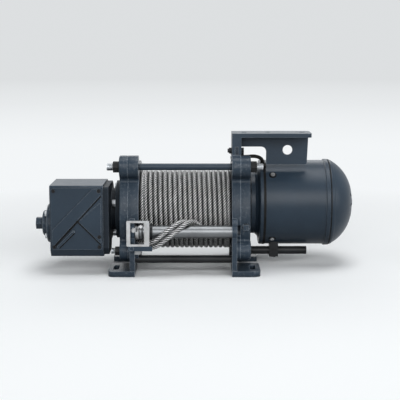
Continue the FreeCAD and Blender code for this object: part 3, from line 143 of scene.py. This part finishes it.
# Small hexagon heads at the anchor, in millimetres: place, direction, width across flats and height
ANCHOR_HEXES = {
    "clamp_nut_left": ((-94.6, -85.2, 71.3), (0.0, -1.0, 0.0), 6.6, 3.7),
    "clamp_nut_right": ((-84.3, -85.5, 75.0), (0.15, -0.76, 0.64), 5.6, 3.4),
    "leg_bolt": ((-93.5, -80.0, 36.7), (1.0, 0.0, 0.0), 7.4, 8.5),
}

# Rings of a hexagon head as shares of its height and of its corner radius
HEX_LEVELS = ((0.0, 1.0), (0.78, 1.0), (1.0, 0.86))
HEX_SIDES = 6

# Trim of the gear case's cover, in millimetres: black beads of painted shade by their (x, z) ends and radius,
# and a rivet by its (x, z) place and (along, radius) profile
COVER_FRONT = -79.0
COVER_SHADE_LINES = {
    "band_shade_line": ((-216.2, 42.6), (-143.6, 121.4), 1.15),
    "field_shade_line": ((-180.6, 84.6), (-144.6, 48.2), 0.95),
    "bar_shade_line": ((-206.6, 42.8), (-183.6, 65.6), 0.8),
}
BEAD_SIDES = 10
BEAD_FLATNESS = 0.8
BEAD_RISE = 0.5
RIVET_AT = (-185.2, 67.7)
RIVET_RISE = 1.5
RIVET = ((0.0, 0.01), (0.0, 2.3), (0.8, 2.1), (1.3, 1.2), (1.4, 0.01))

# Motor's black rings, in millimetres: (x, radius) profiles; the cowl's ring is painted shade in its crease
MOTOR_DARK_RINGS = {
    "rim_joint_ring": ((103.2, 66.9), (103.2, 67.5), (106.8, 67.5), (106.8, 66.9)),
    "cowl_crease_shade": ((206.6, 67.2), (206.6, 68.1), (207.3, 68.3), (208.0, 68.1), (208.3, 67.2)),
}

# Tints, each multiplied by a brightness
BLUE_GREY = (0.60, 0.97, 1.44)
PALE_TINT = (0.86, 1.0, 1.16)
STEEL_TINT = (0.96, 1.0, 1.04)
ZINC_TINT = (0.97, 1.0, 1.03)
WIRE_TINT = (0.98, 1.0, 1.02)
OXIDE_TINT = (0.9, 1.0, 1.1)
DRY_OXIDE_TINT = (0.9, 1.0, 1.12)

# Paint: reach and brightness of the painted shade in its hollows, width and brightness of its lighter edges, and
# its shine
HOLLOW_SHADE_REACH = 9.0 * MM
HOLLOW_SHADE_LEVEL = 0.003
# Lighter edges: partly rubbed wear, partly a painted highlight on rounded edges
WEAR_AND_SHEEN_WIDTH = 1.2 * MM
WEAR_AND_SHEEN_LEVEL = 0.32
PAINT_SHINE = 0.22

# Paints: brightness, roughness, grain scale and depth, painted highlight and wear on the edges, share of light
# specks
PAINTS = {
    "casting": (0.044, 0.3, 900.0, 0.26 * MM, 1.2, 0.75),
    "case_paint": (0.045, 0.36, 1100.0, 0.06 * MM, 0.5, 0.05),
    "motor_paint": (0.045, 0.34, 600.0, 0.04 * MM, 0.4, 0.03),
    # Darker copy of the casting paint, as painted shade for a node in deep shade
    "shade_painted_casting": (0.017, 0.6, 900.0, 0.2 * MM, 0.4, 0.1),
}

# Bright steels: brightness, roughness, and scales of the scratches along x, y and z
STEELS = {
    "bright_fastener": (0.55, 0.3, (400.0, 400.0, 400.0)),
    "polished_steel": (0.18, 0.36, (6.0, 1400.0, 1400.0)),
    "machined_steel": (0.45, 0.34, (900.0, 300.0, 300.0)),
}

# Coloured metals: colour and roughness
COLOURED_METALS = {
    "bronze": ((0.52, 0.33, 0.14), 0.36),
    "copper": ((0.55, 0.22, 0.1), 0.4),
}

# Relief of the plain finishes, of the oxide and of the rope's wires
FINE_BUMP = 0.05 * MM
OXIDE_BUMP = 0.04 * MM
WIRE_BUMP = 0.12 * MM

# Scales of the oxide's lines along x, y and z, and wires in a length of one strand radius
OXIDE_LINES = (60.0, 2500.0, 2500.0)
WIRES_PER_RADIUS = 1.1

# Nodes with a finish other than their slot's; the backplate's darker casting is painted shade
OWN_FINISH = {
    "gear_case_backplate": "shade_painted_casting", "anchor_screw": "casting", "top_bracket": "case_paint",
    "top_tie_rod": "motor_paint",
}

# Rounded edges: width by slot, facets, least angle and welding distance; turned nodes stay as they are
EDGE_WIDTH = {
    "casting": 0.8 * MM, "case_paint": 0.7 * MM, "zinc_plate": 0.4 * MM, "black_steel": 0.3 * MM,
    "bright_fastener": 0.3 * MM,
}
EDGE_SEGMENTS = 2
EDGE_ANGLE = math.radians(38)
WELD_REACH = 0.01 * MM
TURNED_NODES = {"top_tie_rod", "front_tie_rod", "rear_tie_rod", "support_rod", "drum", "guide_bar_collar"}

# Floor: half its width, its tone to the camera and to the hoist, and where it blends into the background
FLOOR_REACH = 40.0
FLOOR_TONE = 0.94
FLOOR_BOUNCE = 0.07
BLEND_FROM = 0.36
BLEND_TO = 0.95

# Background: brightness by share of the distance from the hoist to its reach
BACKGROUND = ((0.0, 0.93), (0.25, 0.92), (0.55, 0.82), (1.0, 0.74))
BACKGROUND_TINT = (0.975, 1.0, 1.015)
BACKGROUND_REACH = 8.0

# Soft boxes: place, aim, size and power
SOFT_BOXES = {
    "top_box": ((0.25, -0.1, 2.5), (0.0, 0.0, 0.0), (1.8, 1.1), 32.0),
    "back_box": ((-0.3, 2.5, 1.5), (0.0, 0.0, 0.12), (3.0, 1.2), 20.0),
    "front_box": ((0.4, -2.7, 1.1), (0.0, 0.0, 0.12), (3.0, 1.5), 62.0),
    "right_box": ((2.2, -0.9, 0.7), (0.15, 0.0, 0.1), (0.6, 1.2), 12.0),
    "left_box": ((-2.2, -0.6, 0.8), (-0.15, 0.0, 0.1), (1.0, 1.2), 12.0),
}

# Faint light from all around
WORLD_COLOUR = (0.93, 0.97, 1.0, 1.0)
WORLD_STRENGTH = 0.07


# Node materials
class Shader:
    """Short-hand for building one node material."""

    def __init__(self, name):
        self.material = bpy.data.materials.new(name)
        self.material.use_nodes = True
        self.tree = self.material.node_tree
        self.surface = self.tree.nodes["Principled BSDF"]

    def node(self, kind, inputs=None, **settings):
        """New node of a kind, with values or links for its inputs and settings for its attributes."""
        made = self.tree.nodes.new("ShaderNode" + kind)
        for key, value in settings.items():
            setattr(made, key, value)
        for key, value in (inputs or {}).items():
            self.feed(made.inputs[key], value)
        return made

    def feed(self, socket, value):
        """Link an output to a socket, or set the socket's own value."""
        if isinstance(value, bpy.types.NodeSocket):
            self.tree.links.new(value, socket)
        else:
            socket.default_value = value

    def set(self, **values):
        """Values or links for the surface's sockets; underscores stand for spaces."""
        for key, value in values.items():
            self.feed(self.surface.inputs[key.replace("_", " ")], value)

    def place(self):
        """Place on the object."""
        return self.node("TexCoord").outputs["Object"]

    def stretched(self, scales):
        """Place on the object, scaled along x, y and z."""
        return self.node("Mapping", {"Vector": self.place(), "Scale": scales}).outputs["Vector"]

    def noise(self, scale, detail=4.0, roughness=0.55, vector=None):
        """Cloudy factor at a place."""
        cloud = {"Scale": scale, "Detail": detail, "Roughness": roughness}
        return self.node("TexNoise", {"Vector": vector or self.place(), **cloud}).outputs["Fac"]

    def ramp(self, factor, *stops):
        """Colour ramp through (position, colour) stops."""
        made = self.node("ValToRGB", {"Fac": factor})
        points = made.color_ramp.elements
        while len(points) < len(stops):
            points.new(0.5)
        for point, (position, colour) in zip(points, stops):
            point.position = position
            point.color = colour
        return made.outputs["Color"]

    def span(self, factor, low, high, start=0.0, end=1.0):
        """Map a factor's range from start to end to the range from low to high."""
        inputs = {"Value": factor, "From Min": start, "From Max": end, "To Min": low, "To Max": high}
        return self.node("MapRange", inputs).outputs["Result"]

    def math(self, operation, one, two=0.0):
        """Result of an operation on one or two values."""
        return self.node("Math", {0: one, 1: two}, operation=operation).outputs["Value"]

    def mix(self, factor, one, two):
        """Colour between two colours."""
        return self.node("Mix", {"Factor": factor, "A": one, "B": two}, data_type="RGBA").outputs["Result"]

    def edges(self, width):
        """About 1 on edges rounded to this width and 0 on flats."""
        rounded = self.node("Bevel", {"Radius": width}, samples=4).outputs["Normal"]
        flat = self.node("NewGeometry").outputs["Normal"]
        dot = self.node("VectorMath", {0: rounded, 1: flat}, operation="DOT_PRODUCT").outputs["Value"]
        return self.span(dot, 1.0, 0.0, start=0.9, end=0.995)

    def bump(self, height, distance, below=None):
        """Normal of a relief, laid over another normal where one is given."""
        inputs = {"Height": height, "Distance": distance}
        if below is not None:
            inputs["Normal"] = below
        return self.node("Bump", inputs).outputs["Normal"]


def grey(value, tint=(1.0, 1.0, 1.0)):
    """Opaque colour of a linear brightness and tint."""
    return tuple(value * part for part in tint) + (1.0,)


def paint(name, level, rough, grain, grain_depth, edge_sheen_and_wear, speck):
    """Blue-grey paint on a cast grain: broad tones, light specks, painted shade in hollows, painted highlight and
    wear on edges.
    """
    make = Shader(name)
    broad = make.noise(13.0, detail=3.0)
    blotch = make.noise(260.0, detail=3.0, roughness=0.6)
    tone = make.ramp(broad, (0.32, grey(level * 0.84, BLUE_GREY)), (0.68, grey(level * 1.18, BLUE_GREY)))
    light = make.math("MULTIPLY", make.span(blotch, 0.0, 1.0, start=0.54, end=0.78), speck)
    tone = make.mix(light, tone, grey(level * 3.2, PALE_TINT))
    # Painted shade: ambient occlusion darkens hollows, creases and the joints between parts
    openness = make.node("AmbientOcclusion", {"Distance": HOLLOW_SHADE_REACH}, samples=6).outputs["AO"]
    hollow_painted_shade = make.span(openness, 0.85, 0.0, start=0.25, end=0.85)
    tone = make.mix(hollow_painted_shade, tone, grey(HOLLOW_SHADE_LEVEL, BLUE_GREY))
    # Lighter edges: rubbed wear in patches, and a painted highlight on every rounded edge
    edge = make.edges(WEAR_AND_SHEEN_WIDTH)
    patches = make.span(make.noise(150.0), 0.3 * edge_sheen_and_wear, edge_sheen_and_wear, start=0.32, end=0.66)
    wear_and_sheen = make.math("MULTIPLY", edge, patches)
    make.set(Base_Color=make.mix(wear_and_sheen, tone, grey(WEAR_AND_SHEEN_LEVEL, PALE_TINT)))
    make.set(Roughness=make.span(make.noise(60.0, detail=3.0), rough - 0.05, rough + 0.07))
    cast = make.bump(blotch, grain_depth * 1.6)
    fine = make.noise(grain, detail=6.0, roughness=0.62)
    make.set(Normal=make.bump(fine, grain_depth, below=cast), Specular_IOR_Level=PAINT_SHINE)
    return make.material


def blackened(name):
    """Black oxide on drawn steel: fine lines along X and dry patches."""
    make = Shader(name)
    lines = make.noise(1.0, detail=2.0, vector=make.stretched(OXIDE_LINES))
    whole = grey(0.008, OXIDE_TINT)
    dry = grey(0.022, DRY_OXIDE_TINT)
    make.set(Base_Color=make.ramp(make.noise(45.0), (0.3, whole), (0.75, dry)), Specular_IOR_Level=0.2)
    make.set(Roughness=make.span(lines, 0.36, 0.5), Normal=make.bump(lines, OXIDE_BUMP))
    return make.material


def bare_steel(name, level, rough, scales):
    """Bright steel with faint stains, and scratches stretched by their scales along x, y and z."""
    make = Shader(name)
    scratch = make.noise(1.0, detail=5.0, roughness=0.65, vector=make.stretched(scales))
    stained = grey(level * 0.8, STEEL_TINT)
    clean = grey(level * 1.06, STEEL_TINT)
    make.set(Base_Color=make.ramp(make.noise(55.0), (0.3, stained), (0.7, clean)), Metallic=1.0)
    make.set(Roughness=make.span(scratch, rough - 0.08, rough + 0.12), Normal=make.bump(scratch, FINE_BUMP))
    return make.material


def zinc(name):
    """Dull zinc plate with faint mottling."""
    make = Shader(name)
    cells = make.node("TexVoronoi", {"Vector": make.place(), "Scale": 420.0}).outputs["Distance"]
    make.set(Base_Color=make.ramp(make.noise(90.0), (0.3, grey(0.36)), (0.7, grey(0.5, ZINC_TINT))))
    make.set(Metallic=0.6, Roughness=make.span(cells, 0.4, 0.52))
    make.set(Normal=make.bump(make.noise(700.0), FINE_BUMP))
    return make.material


def rope_wire(name):
    """Drawn wire strands: bright where a strand stands out, painted shade, near black, where it meets the next
    one.
    """
    make = Shader(name)
    uv = make.node("SeparateXYZ", {"Vector": make.node("UVMap").outputs["UV"]})
    # Painted shade: the brightness mark turns a strand near black and less metallic on its sides
    strand_painted_light = make.span(uv.outputs["Y"], 0.0, 1.0, start=0.42, end=0.95)
    wires = make.math("SINE", make.math("MULTIPLY", uv.outputs["X"], 2 * math.pi * WIRES_PER_RADIUS))
    steel = make.ramp(make.noise(150.0, detail=5.0), (0.3, grey(0.6, WIRE_TINT)), (0.7, grey(0.95)))
    make.set(Base_Color=make.mix(strand_painted_light, grey(0.006), steel), Metallic=make.span(strand_painted_light, 0.2, 0.9))
    make.set(Roughness=make.span(make.noise(220.0), 0.22, 0.4))
    make.set(Normal=make.bump(make.span(wires, 0.0, 1.0, start=-1.0, end=1.0), WIRE_BUMP))
    return make.material


def rubber(name):
    """Matt black with a slight mould texture."""
    make = Shader(name)
    make.set(Base_Color=make.ramp(make.noise(70.0), (0.3, grey(0.004)), (0.7, grey(0.009))))
    make.set(Roughness=make.span(make.noise(300.0), 0.5, 0.66), Specular_IOR_Level=0.15)
    make.set(Normal=make.bump(make.noise(900.0), FINE_BUMP))
    return make.material


def coloured_metal(name, colour, rough):
    """Bronze or copper with darker streaks."""
    make = Shader(name)
    streak = make.noise(240.0)
    make.set(Base_Color=make.ramp(streak, (0.3, grey(0.6, colour)), (0.7, grey(1.0, colour))), Metallic=0.9)
    make.set(Roughness=make.span(streak, rough - 0.05, rough + 0.12), Normal=make.bump(streak, FINE_BUMP))
    return make.material


def build_materials():
    """One material for every slot of the record, and a darker casting that paints shade on a node in deep shade.
    """
    made = {name: paint(name, *values) for name, values in PAINTS.items()}
    made.update({name: bare_steel(name, *values) for name, values in STEELS.items()})
    made.update({name: coloured_metal(name, *values) for name, values in COLOURED_METALS.items()})
    made.update({name: blackened(name) for name in ("black_steel", "core_iron")})
    made.update({name: rubber(name) for name in ("rubber", "fan_plastic")})
    made["zinc_plate"] = zinc("zinc_plate")
    made["wire_rope"] = rope_wire("wire_rope")
    return made


MATERIALS = build_materials()


def dress_nodes():
    """Finish every solid by its slot, with rounded edges on the visible castings and plates."""
    for part in RECORD["subparts"]:
        item = NODES[part["node"]]
        item.data.materials.clear()
        item.data.materials.append(MATERIALS[OWN_FINISH.get(part["node"], part["material_slot"])])
        width = EDGE_WIDTH.get(part["material_slot"])
        if width is None or part["node"] in TURNED_NODES:
            continue
        weld = item.modifiers.new("weld", "WELD")
        weld.merge_threshold = WELD_REACH
        bevel = item.modifiers.new("edges", "BEVEL")
        bevel.width = width
        bevel.segments = EDGE_SEGMENTS
        bevel.limit_method = "ANGLE"
        bevel.angle_limit = EDGE_ANGLE


# Pieces made of points and faces
def mesh_piece(name, vertices, faces, slot, body="frame", smooth=False):
    """New piece from vertices and faces, finished by a slot and riding on a body."""
    mesh = bpy.data.meshes.new(name)
    mesh.from_pydata(vertices, [], faces)
    if smooth:
        mesh.shade_smooth()
    mesh.materials.append(MATERIALS[slot])
    item = bpy.data.objects.new(name, mesh)
    bpy.context.scene.collection.objects.link(item)
    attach(item, body)
    return item


def tube_faces(rings, sides):
    """Faces of a tube of rings of points, with both ends closed."""
    faces = []
    for ring in range(rings - 1):
        for k in range(sides):
            a = ring * sides + k
            b = ring * sides + (k + 1) % sides
            faces.append((a, b, b + sides, a + sides))
    faces.append(tuple(reversed(range(sides))))
    faces.append(tuple((rings - 1) * sides + k for k in range(sides)))
    return faces


def ring_points(place, axis, along, radius, sides):
    """Ring of points about an axis through a place, from millimetres to metres."""
    axis = Vector(axis).normalized()
    side = axis.orthogonal().normalized()
    up = axis.cross(side)
    points = []
    for k in range(sides):
        angle = 2 * math.pi * k / sides
        out = side * math.cos(angle) + up * math.sin(angle)
        points.append((Vector(place) + axis * along + out * radius) * MM)
    return points


def revolve(name, profile, place, axis, slot, around=32):
    """Turned piece from a closed (along, radius) profile in millimetres about an axis through a place."""
    vertices = []
    for along, radius in profile:
        vertices += ring_points(place, axis, along, radius, around)
    faces = []
    for i in range(len(profile)):
        here = i * around
        there = (i + 1) % len(profile) * around
        for k in range(around):
            n = (k + 1) % around
            faces.append((here + k, there + k, there + n, here + n))
    mesh_piece(name, vertices, faces, slot)


def hex_head(name, place, axis, across, height):
    """Zinc hexagon head with a chamfered top, standing on a place along an axis; millimetres."""
    corner = across / math.sqrt(3)
    vertices = []
    for rise, share in HEX_LEVELS:
        vertices += ring_points(place, axis, height * rise, corner * share, HEX_SIDES)
    mesh_piece(name, vertices, tube_faces(len(HEX_LEVELS), HEX_SIDES), "zinc_plate")


# Stranded rope and the motor's lead
def strand_tube(line, strand, paint_flank_shade):
    """Vertices and (length, painted brightness) marks of one strand, or of the core when strand is None.

    The line has a centre, normal, tangent and run for each step. Painted flank shade darkens the strands on
    both sides of the normal, where the neighbouring turns of a winding stand close.
    """
    core = strand is None
    thick = ROPE_R * (CORE_SHARE if core else STRAND_SHARE)
    offset = 0.0 if core else ROPE_R - thick
    vertices = []
    length_and_painted_light = []
    for centre, normal, tangent, run in line:
        side = tangent.cross(normal).normalized()
        up = side.cross(tangent).normalized()
        turn = 2 * math.pi * (run / ROPE_LAY + (strand or 0) / ROPE_STRANDS)
        middle = centre + (up * math.cos(turn) + side * math.sin(turn)) * offset
        # Painted shade on the flanks of a wound strand
        flank_painted_light = 1.0
        if paint_flank_shade:
            flank_painted_light = min(max(math.cos(turn) * PAINTED_FLANK_SLOPE + PAINTED_FLANK_LIFT, PAINTED_FLANK_LEAST), 1.0)
        for k in range(STRAND_SIDES):
            around = 2 * math.pi * k / STRAND_SIDES
            out = up * math.cos(around + turn) + side * math.sin(around + turn)
            vertices.append(middle + out * thick)
            # Painted shade: the mark is full on the strand's outward face and falls to nothing on its sides
            length_and_painted_light.append((run / thick, 0.0 if core else max(math.cos(around), 0.0) * flank_painted_light))
    return vertices, length_and_painted_light


def tangents(points):
    """Direction of a line at each of its points."""
    last = len(points) - 1
    return [(points[min(i + 1, last)] - points[max(i - 1, 0)]).normalized() for i in range(last + 1)]


def stranded_rope(name, centres, normals, body, paint_flank_shade=False):
    """Rope piece: twisted strands round a core along centre points with one normal for each point."""
    line = []
    run = 0.0
    before = centres[0]
    for centre, normal, tangent in zip(centres, normals, tangents(centres)):
        run += (centre - before).length
        before = centre
        line.append((centre, normal, tangent, run))
    tube = tube_faces(len(line), STRAND_SIDES)
    vertices = []
    faces = []
    length_and_painted_light = []
    for strand in [None] + list(range(ROPE_STRANDS)):
        points, places = strand_tube(line, strand, paint_flank_shade)
        first = len(vertices)
        vertices += points
        faces += [tuple(first + corner for corner in face) for face in tube]
        length_and_painted_light += places
    item = mesh_piece(name, vertices, faces, "wire_rope", body, smooth=True)
    layer = item.data.uv_layers.new(name="along")
    for loop, place in zip(item.data.loops, layer.data):
        place.uv = length_and_painted_light[loop.vertex_index]
    return item


def rope_winding():
    """Helix of stranded rope on the barrel, with half a turn beside each flange and both ends tucked in."""
    low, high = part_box("rope_winding")
    orbit = (high.z - low.z) / 2 - ROPE_R
    x_start = low.x + ROPE_R
    x_run = high.x - low.x - 2 * ROPE_R
    sweep = 2 * math.pi * WIND_TURNS
    steps = int(WIND_TURNS * WIND_STEPS)
    centres = []
    normals = []
    for i in range(steps + 1):
        turned = sweep * i / steps
        share = min(max((turned - WIND_FLAT) / (sweep - 2 * WIND_FLAT), 0.0), 1.0)
        end_gap = min(turned, sweep - turned)
        dive = max(0.0, 1 - end_gap / TUCK_ANGLE) * TUCK_DEPTH
        angle = WIND_START + turned
        out = Vector((0.0, math.cos(angle), math.sin(angle)))
        middle = Vector((x_start + x_run * share, DRUM_AXIS.y, DRUM_AXIS.z))
        centres.append(middle + out * (orbit - dive))
        normals.append(out)
    rope = stranded_rope("wound_rope", centres, normals, "drum_body", paint_flank_shade=True)
    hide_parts("rope_winding")


def smooth_line(name, route):
    """Curve with one open spline that a route's points control."""
    curve = bpy.data.curves.new(name, "CURVE")
    curve.dimensions = "3D"
    curve.resolution_u = ROUTE_STEPS
    spline = curve.splines.new("NURBS")
    spline.points.add(len(route) - 1)
    for point, place in zip(spline.points, route):
        point.co = (place[0] * MM, place[1] * MM, place[2] * MM, 1.0)
    spline.order_u = ROUTE_ORDER
    spline.use_endpoint_u = True
    return bpy.data.objects.new(name, curve)


def line_points(name, route):
    """Points along the smooth line of a route."""
    holder = smooth_line(name, route)
    curve = holder.data
    mesh = bpy.data.meshes.new_from_object(holder)
    points = [vertex.co.copy() for vertex in mesh.vertices]
    bpy.data.objects.remove(holder)
    bpy.data.meshes.remove(mesh)
    bpy.data.curves.remove(curve)
    return points


def carried_normals(points):
    """One normal for each point, carried along the line without twist."""
    normal = Vector((0.0, 0.0, 1.0))
    normals = []
    for tangent in tangents(points):
        normal = (normal - tangent * normal.dot(tangent)).normalized()
        normals.append(normal)
    return normals


def rope_tails():
    """Two runs of stranded rope from the left casting over the guide bar to the drum."""
    for name, route in (("upper_rope_run", UPPER_TAIL), ("lower_rope_run", LOWER_TAIL)):
        points = line_points(name, route)
        stranded_rope(name, points, carried_normals(points), "frame")
    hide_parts("rope_tail")


def motor_lead():
    """Rubber lead on the route of the solid that it replaces."""
    item = smooth_line("rubber_lead", MOTOR_LEAD)
    item.data.bevel_depth = LEAD_R
    item.data.bevel_resolution = LEAD_ROUNDNESS
    item.data.use_fill_caps = True
    item.data.materials.append(MATERIALS["rubber"])
    bpy.context.scene.collection.objects.link(item)
    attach(item, "frame")
    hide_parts("motor_lead")


# Threads, small fasteners and trim
def thread(name, x0, x1, y, z, radius):
    """Rolled thread standing on a rod along X, all values in millimetres."""
    rows = int((x1 - x0) / THREAD_PITCH * ROWS_PER_PITCH)
    vertices = []
    for row in range(rows + 1):
        x = x0 + (x1 - x0) * row / rows
        fade = min(1.0, (x - x0) / THREAD_FADE, (x1 - x) / THREAD_FADE)
        for k in range(THREAD_SIDES):
            phase = (x / THREAD_PITCH - k / THREAD_SIDES) % 1.0
            height = THREAD_DEPTH * fade * (1.0 - abs(2.0 * phase - 1.0))
            angle = 2 * math.pi * k / THREAD_SIDES
            r = radius + THREAD_LIFT + height
            vertices.append((x * MM, (y + r * math.cos(angle)) * MM, (z + r * math.sin(angle)) * MM))
    mesh_piece(name, vertices, tube_faces(rows + 1, THREAD_SIDES), "bright_fastener")


def rod_threads():
    """Threads on the ends of the top rod and of the two left studs."""
    low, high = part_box("top_tie_rod")
    y = (low.y + high.y) / 2 / MM
    z = (low.z + high.z) / 2 / MM
    radius = (high.z - low.z) / 2 / MM
    nut_low, nut_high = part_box("tie_rod_nuts")
    thread("top_rod_thread_left", low.x / MM, nut_low.x / MM, y, z, radius)
    thread("top_rod_thread_right", nut_high.x / MM, high.x / MM, y, z, radius)
    stud_low, stud_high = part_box("casting_bolts")
    corner = STUD_NUT_ACROSS / math.sqrt(3)
    x = stud_low.x / MM
    z = (stud_low.z + stud_high.z) / 2 / MM
    for side, name in ((-1, "front_stud_thread"), (1, "rear_stud_thread")):
        y = side * (stud_high.y / MM - corner)
        thread(name, x, x + STUD_THREAD, y, z, STUD_R)


def shell_screw_details():
    """Ring of painted shade round each shell screw, and a bright ring on its head."""
    middle = Vector((SCREW_X, MOTOR_AXIS.y / MM, MOTOR_AXIS.z / MM))
    for degrees in SCREW_ANGLES:
        angle = math.radians(degrees)
        out = Vector((0.0, math.cos(angle), math.sin(angle)))
        seat = middle + out * PAINTED_SHADE_SEAT
        top = middle + out * FACE_SEAT
        revolve("screw_painted_shade_%d" % degrees, PAINTED_SHADE_RING, seat, out, "rubber")
        revolve("screw_face_%d" % degrees, FACE_RING, top, out, "zinc_plate", around=20)


def anchor_clamp():
    """Zinc strap, band and nuts on the guide bar's turned end, and a bolt head on the left leg."""
    axis_y, axis_z = GUIDE_AXIS
    arc_start, arc_end = STRAP_ARC
    vertices = []
    for i in range(STRAP_STEPS + 1):
        angle = math.radians(arc_start + (arc_end - arc_start) * i / STRAP_STEPS)
        for x, r in reversed(CLAMP_STRAP):
            vertices.append(Vector((x, axis_y - r * math.cos(angle), axis_z + r * math.sin(angle))) * MM)
    mesh_piece("clamp_strap", vertices, tube_faces(STRAP_STEPS + 1, len(CLAMP_STRAP)), "zinc_plate")
    revolve("clamp_band", CLAMP_BAND, (0.0, axis_y, axis_z), (1, 0, 0), "zinc_plate", around=48)
    for name, (place, axis, across, height) in ANCHOR_HEXES.items():
        hex_head(name, place, axis, across, height)


def shade_line_bead(name, start, end, radius):
    """Oval black bead of painted shade on the front cover between two (x, z) points; millimetres."""
    run = Vector((end[0] - start[0], 0.0, end[1] - start[1])).normalized()
    across = run.cross(Vector((0.0, 1.0, 0.0)))
    vertices = []
    for x, z in (start, end):
        middle = Vector((x, COVER_FRONT - BEAD_RISE, z))
        for k in range(BEAD_SIDES):
            angle = 2 * math.pi * k / BEAD_SIDES
            out = across * math.cos(angle) + Vector((0.0, -BEAD_FLATNESS * math.sin(angle), 0.0))
            vertices.append((middle + out * radius) * MM)
    mesh_piece(name, vertices, tube_faces(2, BEAD_SIDES), "rubber")


def cover_details():
    """Black beads of painted shade along the cover's raised shapes, and a rivet on the end of its bar."""
    for name, (start, end, radius) in COVER_SHADE_LINES.items():
        shade_line_bead(name, start, end, radius)
    rivet_x, rivet_z = RIVET_AT
    seat = (rivet_x, COVER_FRONT - RIVET_RISE, rivet_z)
    revolve("bar_rivet", RIVET, seat, (0, -1, 0), "casting", around=20)


def motor_dark_rings():
    """Black rings on the motor: one in the joint of rim and shell, and painted shade in the crease of the cowl."""
    middle = (0.0, MOTOR_AXIS.y / MM, MOTOR_AXIS.z / MM)
    for name, profile in MOTOR_DARK_RINGS.items():
        revolve(name, profile, middle, (1, 0, 0), "rubber", around=128)


# Studio and camera
def seen_directly(tree):
    """1 for camera, glossy and transmission rays."""
    path = tree.nodes.new("ShaderNodeLightPath")
    total = path.outputs["Is Camera Ray"]
    for name in ("Is Glossy Ray", "Is Transmission Ray"):
        add = tree.nodes.new("ShaderNodeMath")
        add.operation = "MAXIMUM"
        tree.links.new(total, add.inputs[0])
        tree.links.new(path.outputs[name], add.inputs[1])
        total = add.outputs["Value"]
    return total


def pale_floor():
    """Wide floor: a matt white that takes the shadow near the hoist, a plain pale tone further off."""
    corners = [(a * FLOOR_REACH, b * FLOOR_REACH, 0.0) for a, b in ((-1, -1), (1, -1), (1, 1), (-1, 1))]
    mesh = bpy.data.meshes.new("floor")
    mesh.from_pydata(corners, [], [(0, 1, 2, 3)])
    item = bpy.data.objects.new("floor", mesh)
    bpy.context.scene.collection.objects.link(item)
    make = Shader("floor")
    direct = seen_directly(make.tree)
    matt = make.mix(direct, grey(FLOOR_BOUNCE), grey(FLOOR_TONE, BACKGROUND_TINT))
    make.set(Base_Color=matt, Roughness=0.95, Specular_IOR_Level=0.0)
    distance = make.node("VectorMath", {0: make.place()}, operation="LENGTH").outputs["Value"]
    tones = [(stop, grey(value, BACKGROUND_TINT)) for stop, value in BACKGROUND]
    tone = make.ramp(make.span(distance, 0.0, 1.0, end=BACKGROUND_REACH), *tones)
    far = make.node("Emission", {"Color": tone}).outputs["Emission"]
    blend = make.math("MULTIPLY", make.span(distance, 0.0, 1.0, start=BLEND_FROM, end=BLEND_TO), direct)
    both = make.node("MixShader", {0: blend, 1: make.surface.outputs["BSDF"], 2: far}).outputs["Shader"]
    make.tree.links.new(both, make.tree.nodes["Material Output"].inputs["Surface"])
    mesh.materials.append(make.material)


def area_light(name, place, aim, size, power):
    """Rectangular soft box at place, facing aim."""
    data = bpy.data.lights.new(name, "AREA")
    data.shape = "RECTANGLE"
    data.size, data.size_y = size
    data.energy = power
    item = bpy.data.objects.new(name, data)
    item.location = place
    item.visible_camera = False
    item.rotation_euler = (Vector(aim) - Vector(place)).to_track_quat("-Z", "Y").to_euler()
    bpy.context.scene.collection.objects.link(item)


def studio():
    """Soft boxes above, at the front, at the back and at both ends, and a pale world."""
    for name, (place, aim, size, power) in SOFT_BOXES.items():
        area_light(name, place, aim, size, power)
    world = bpy.data.worlds.new("studio")
    bpy.context.scene.world = world
    world.use_nodes = True
    tree = world.node_tree
    lighting = tree.nodes["Background"]
    lighting.inputs["Color"].default_value = WORLD_COLOUR
    lighting.inputs["Strength"].default_value = WORLD_STRENGTH
    shown = tree.nodes.new("ShaderNodeBackground")
    shown.inputs["Color"].default_value = grey(BACKGROUND[-1][1], BACKGROUND_TINT)
    mix = tree.nodes.new("ShaderNodeMixShader")
    tree.links.new(seen_directly(tree), mix.inputs[0])
    tree.links.new(lighting.outputs["Background"], mix.inputs[1])
    tree.links.new(shown.outputs["Background"], mix.inputs[2])
    tree.links.new(mix.outputs["Shader"], tree.nodes["World Output"].inputs["Surface"])


def camera():
    """Camera at the photograph's height and pitch."""
    data = bpy.data.cameras.new("camera")
    data.sensor_width = SENSOR_MM
    data.lens = SENSOR_MM * FOCAL_PX / IMAGE_PX
    data.clip_end = VIEW_REACH
    item = bpy.data.objects.new("camera", data)
    item.location = CAMERA_AT
    item.rotation_euler = (math.pi / 2 - math.atan2(HORIZON_RISE_PX, FOCAL_PX), 0.0, 0.0)
    bpy.context.scene.collection.objects.link(item)
    bpy.context.scene.camera = item


bpy.context.scene.view_settings.view_transform = "Standard"
camera()
dress_nodes()
rope_winding()
rope_tails()
motor_lead()
rod_threads()
shell_screw_details()
anchor_clamp()
cover_details()
motor_dark_rings()
pale_floor()
studio()
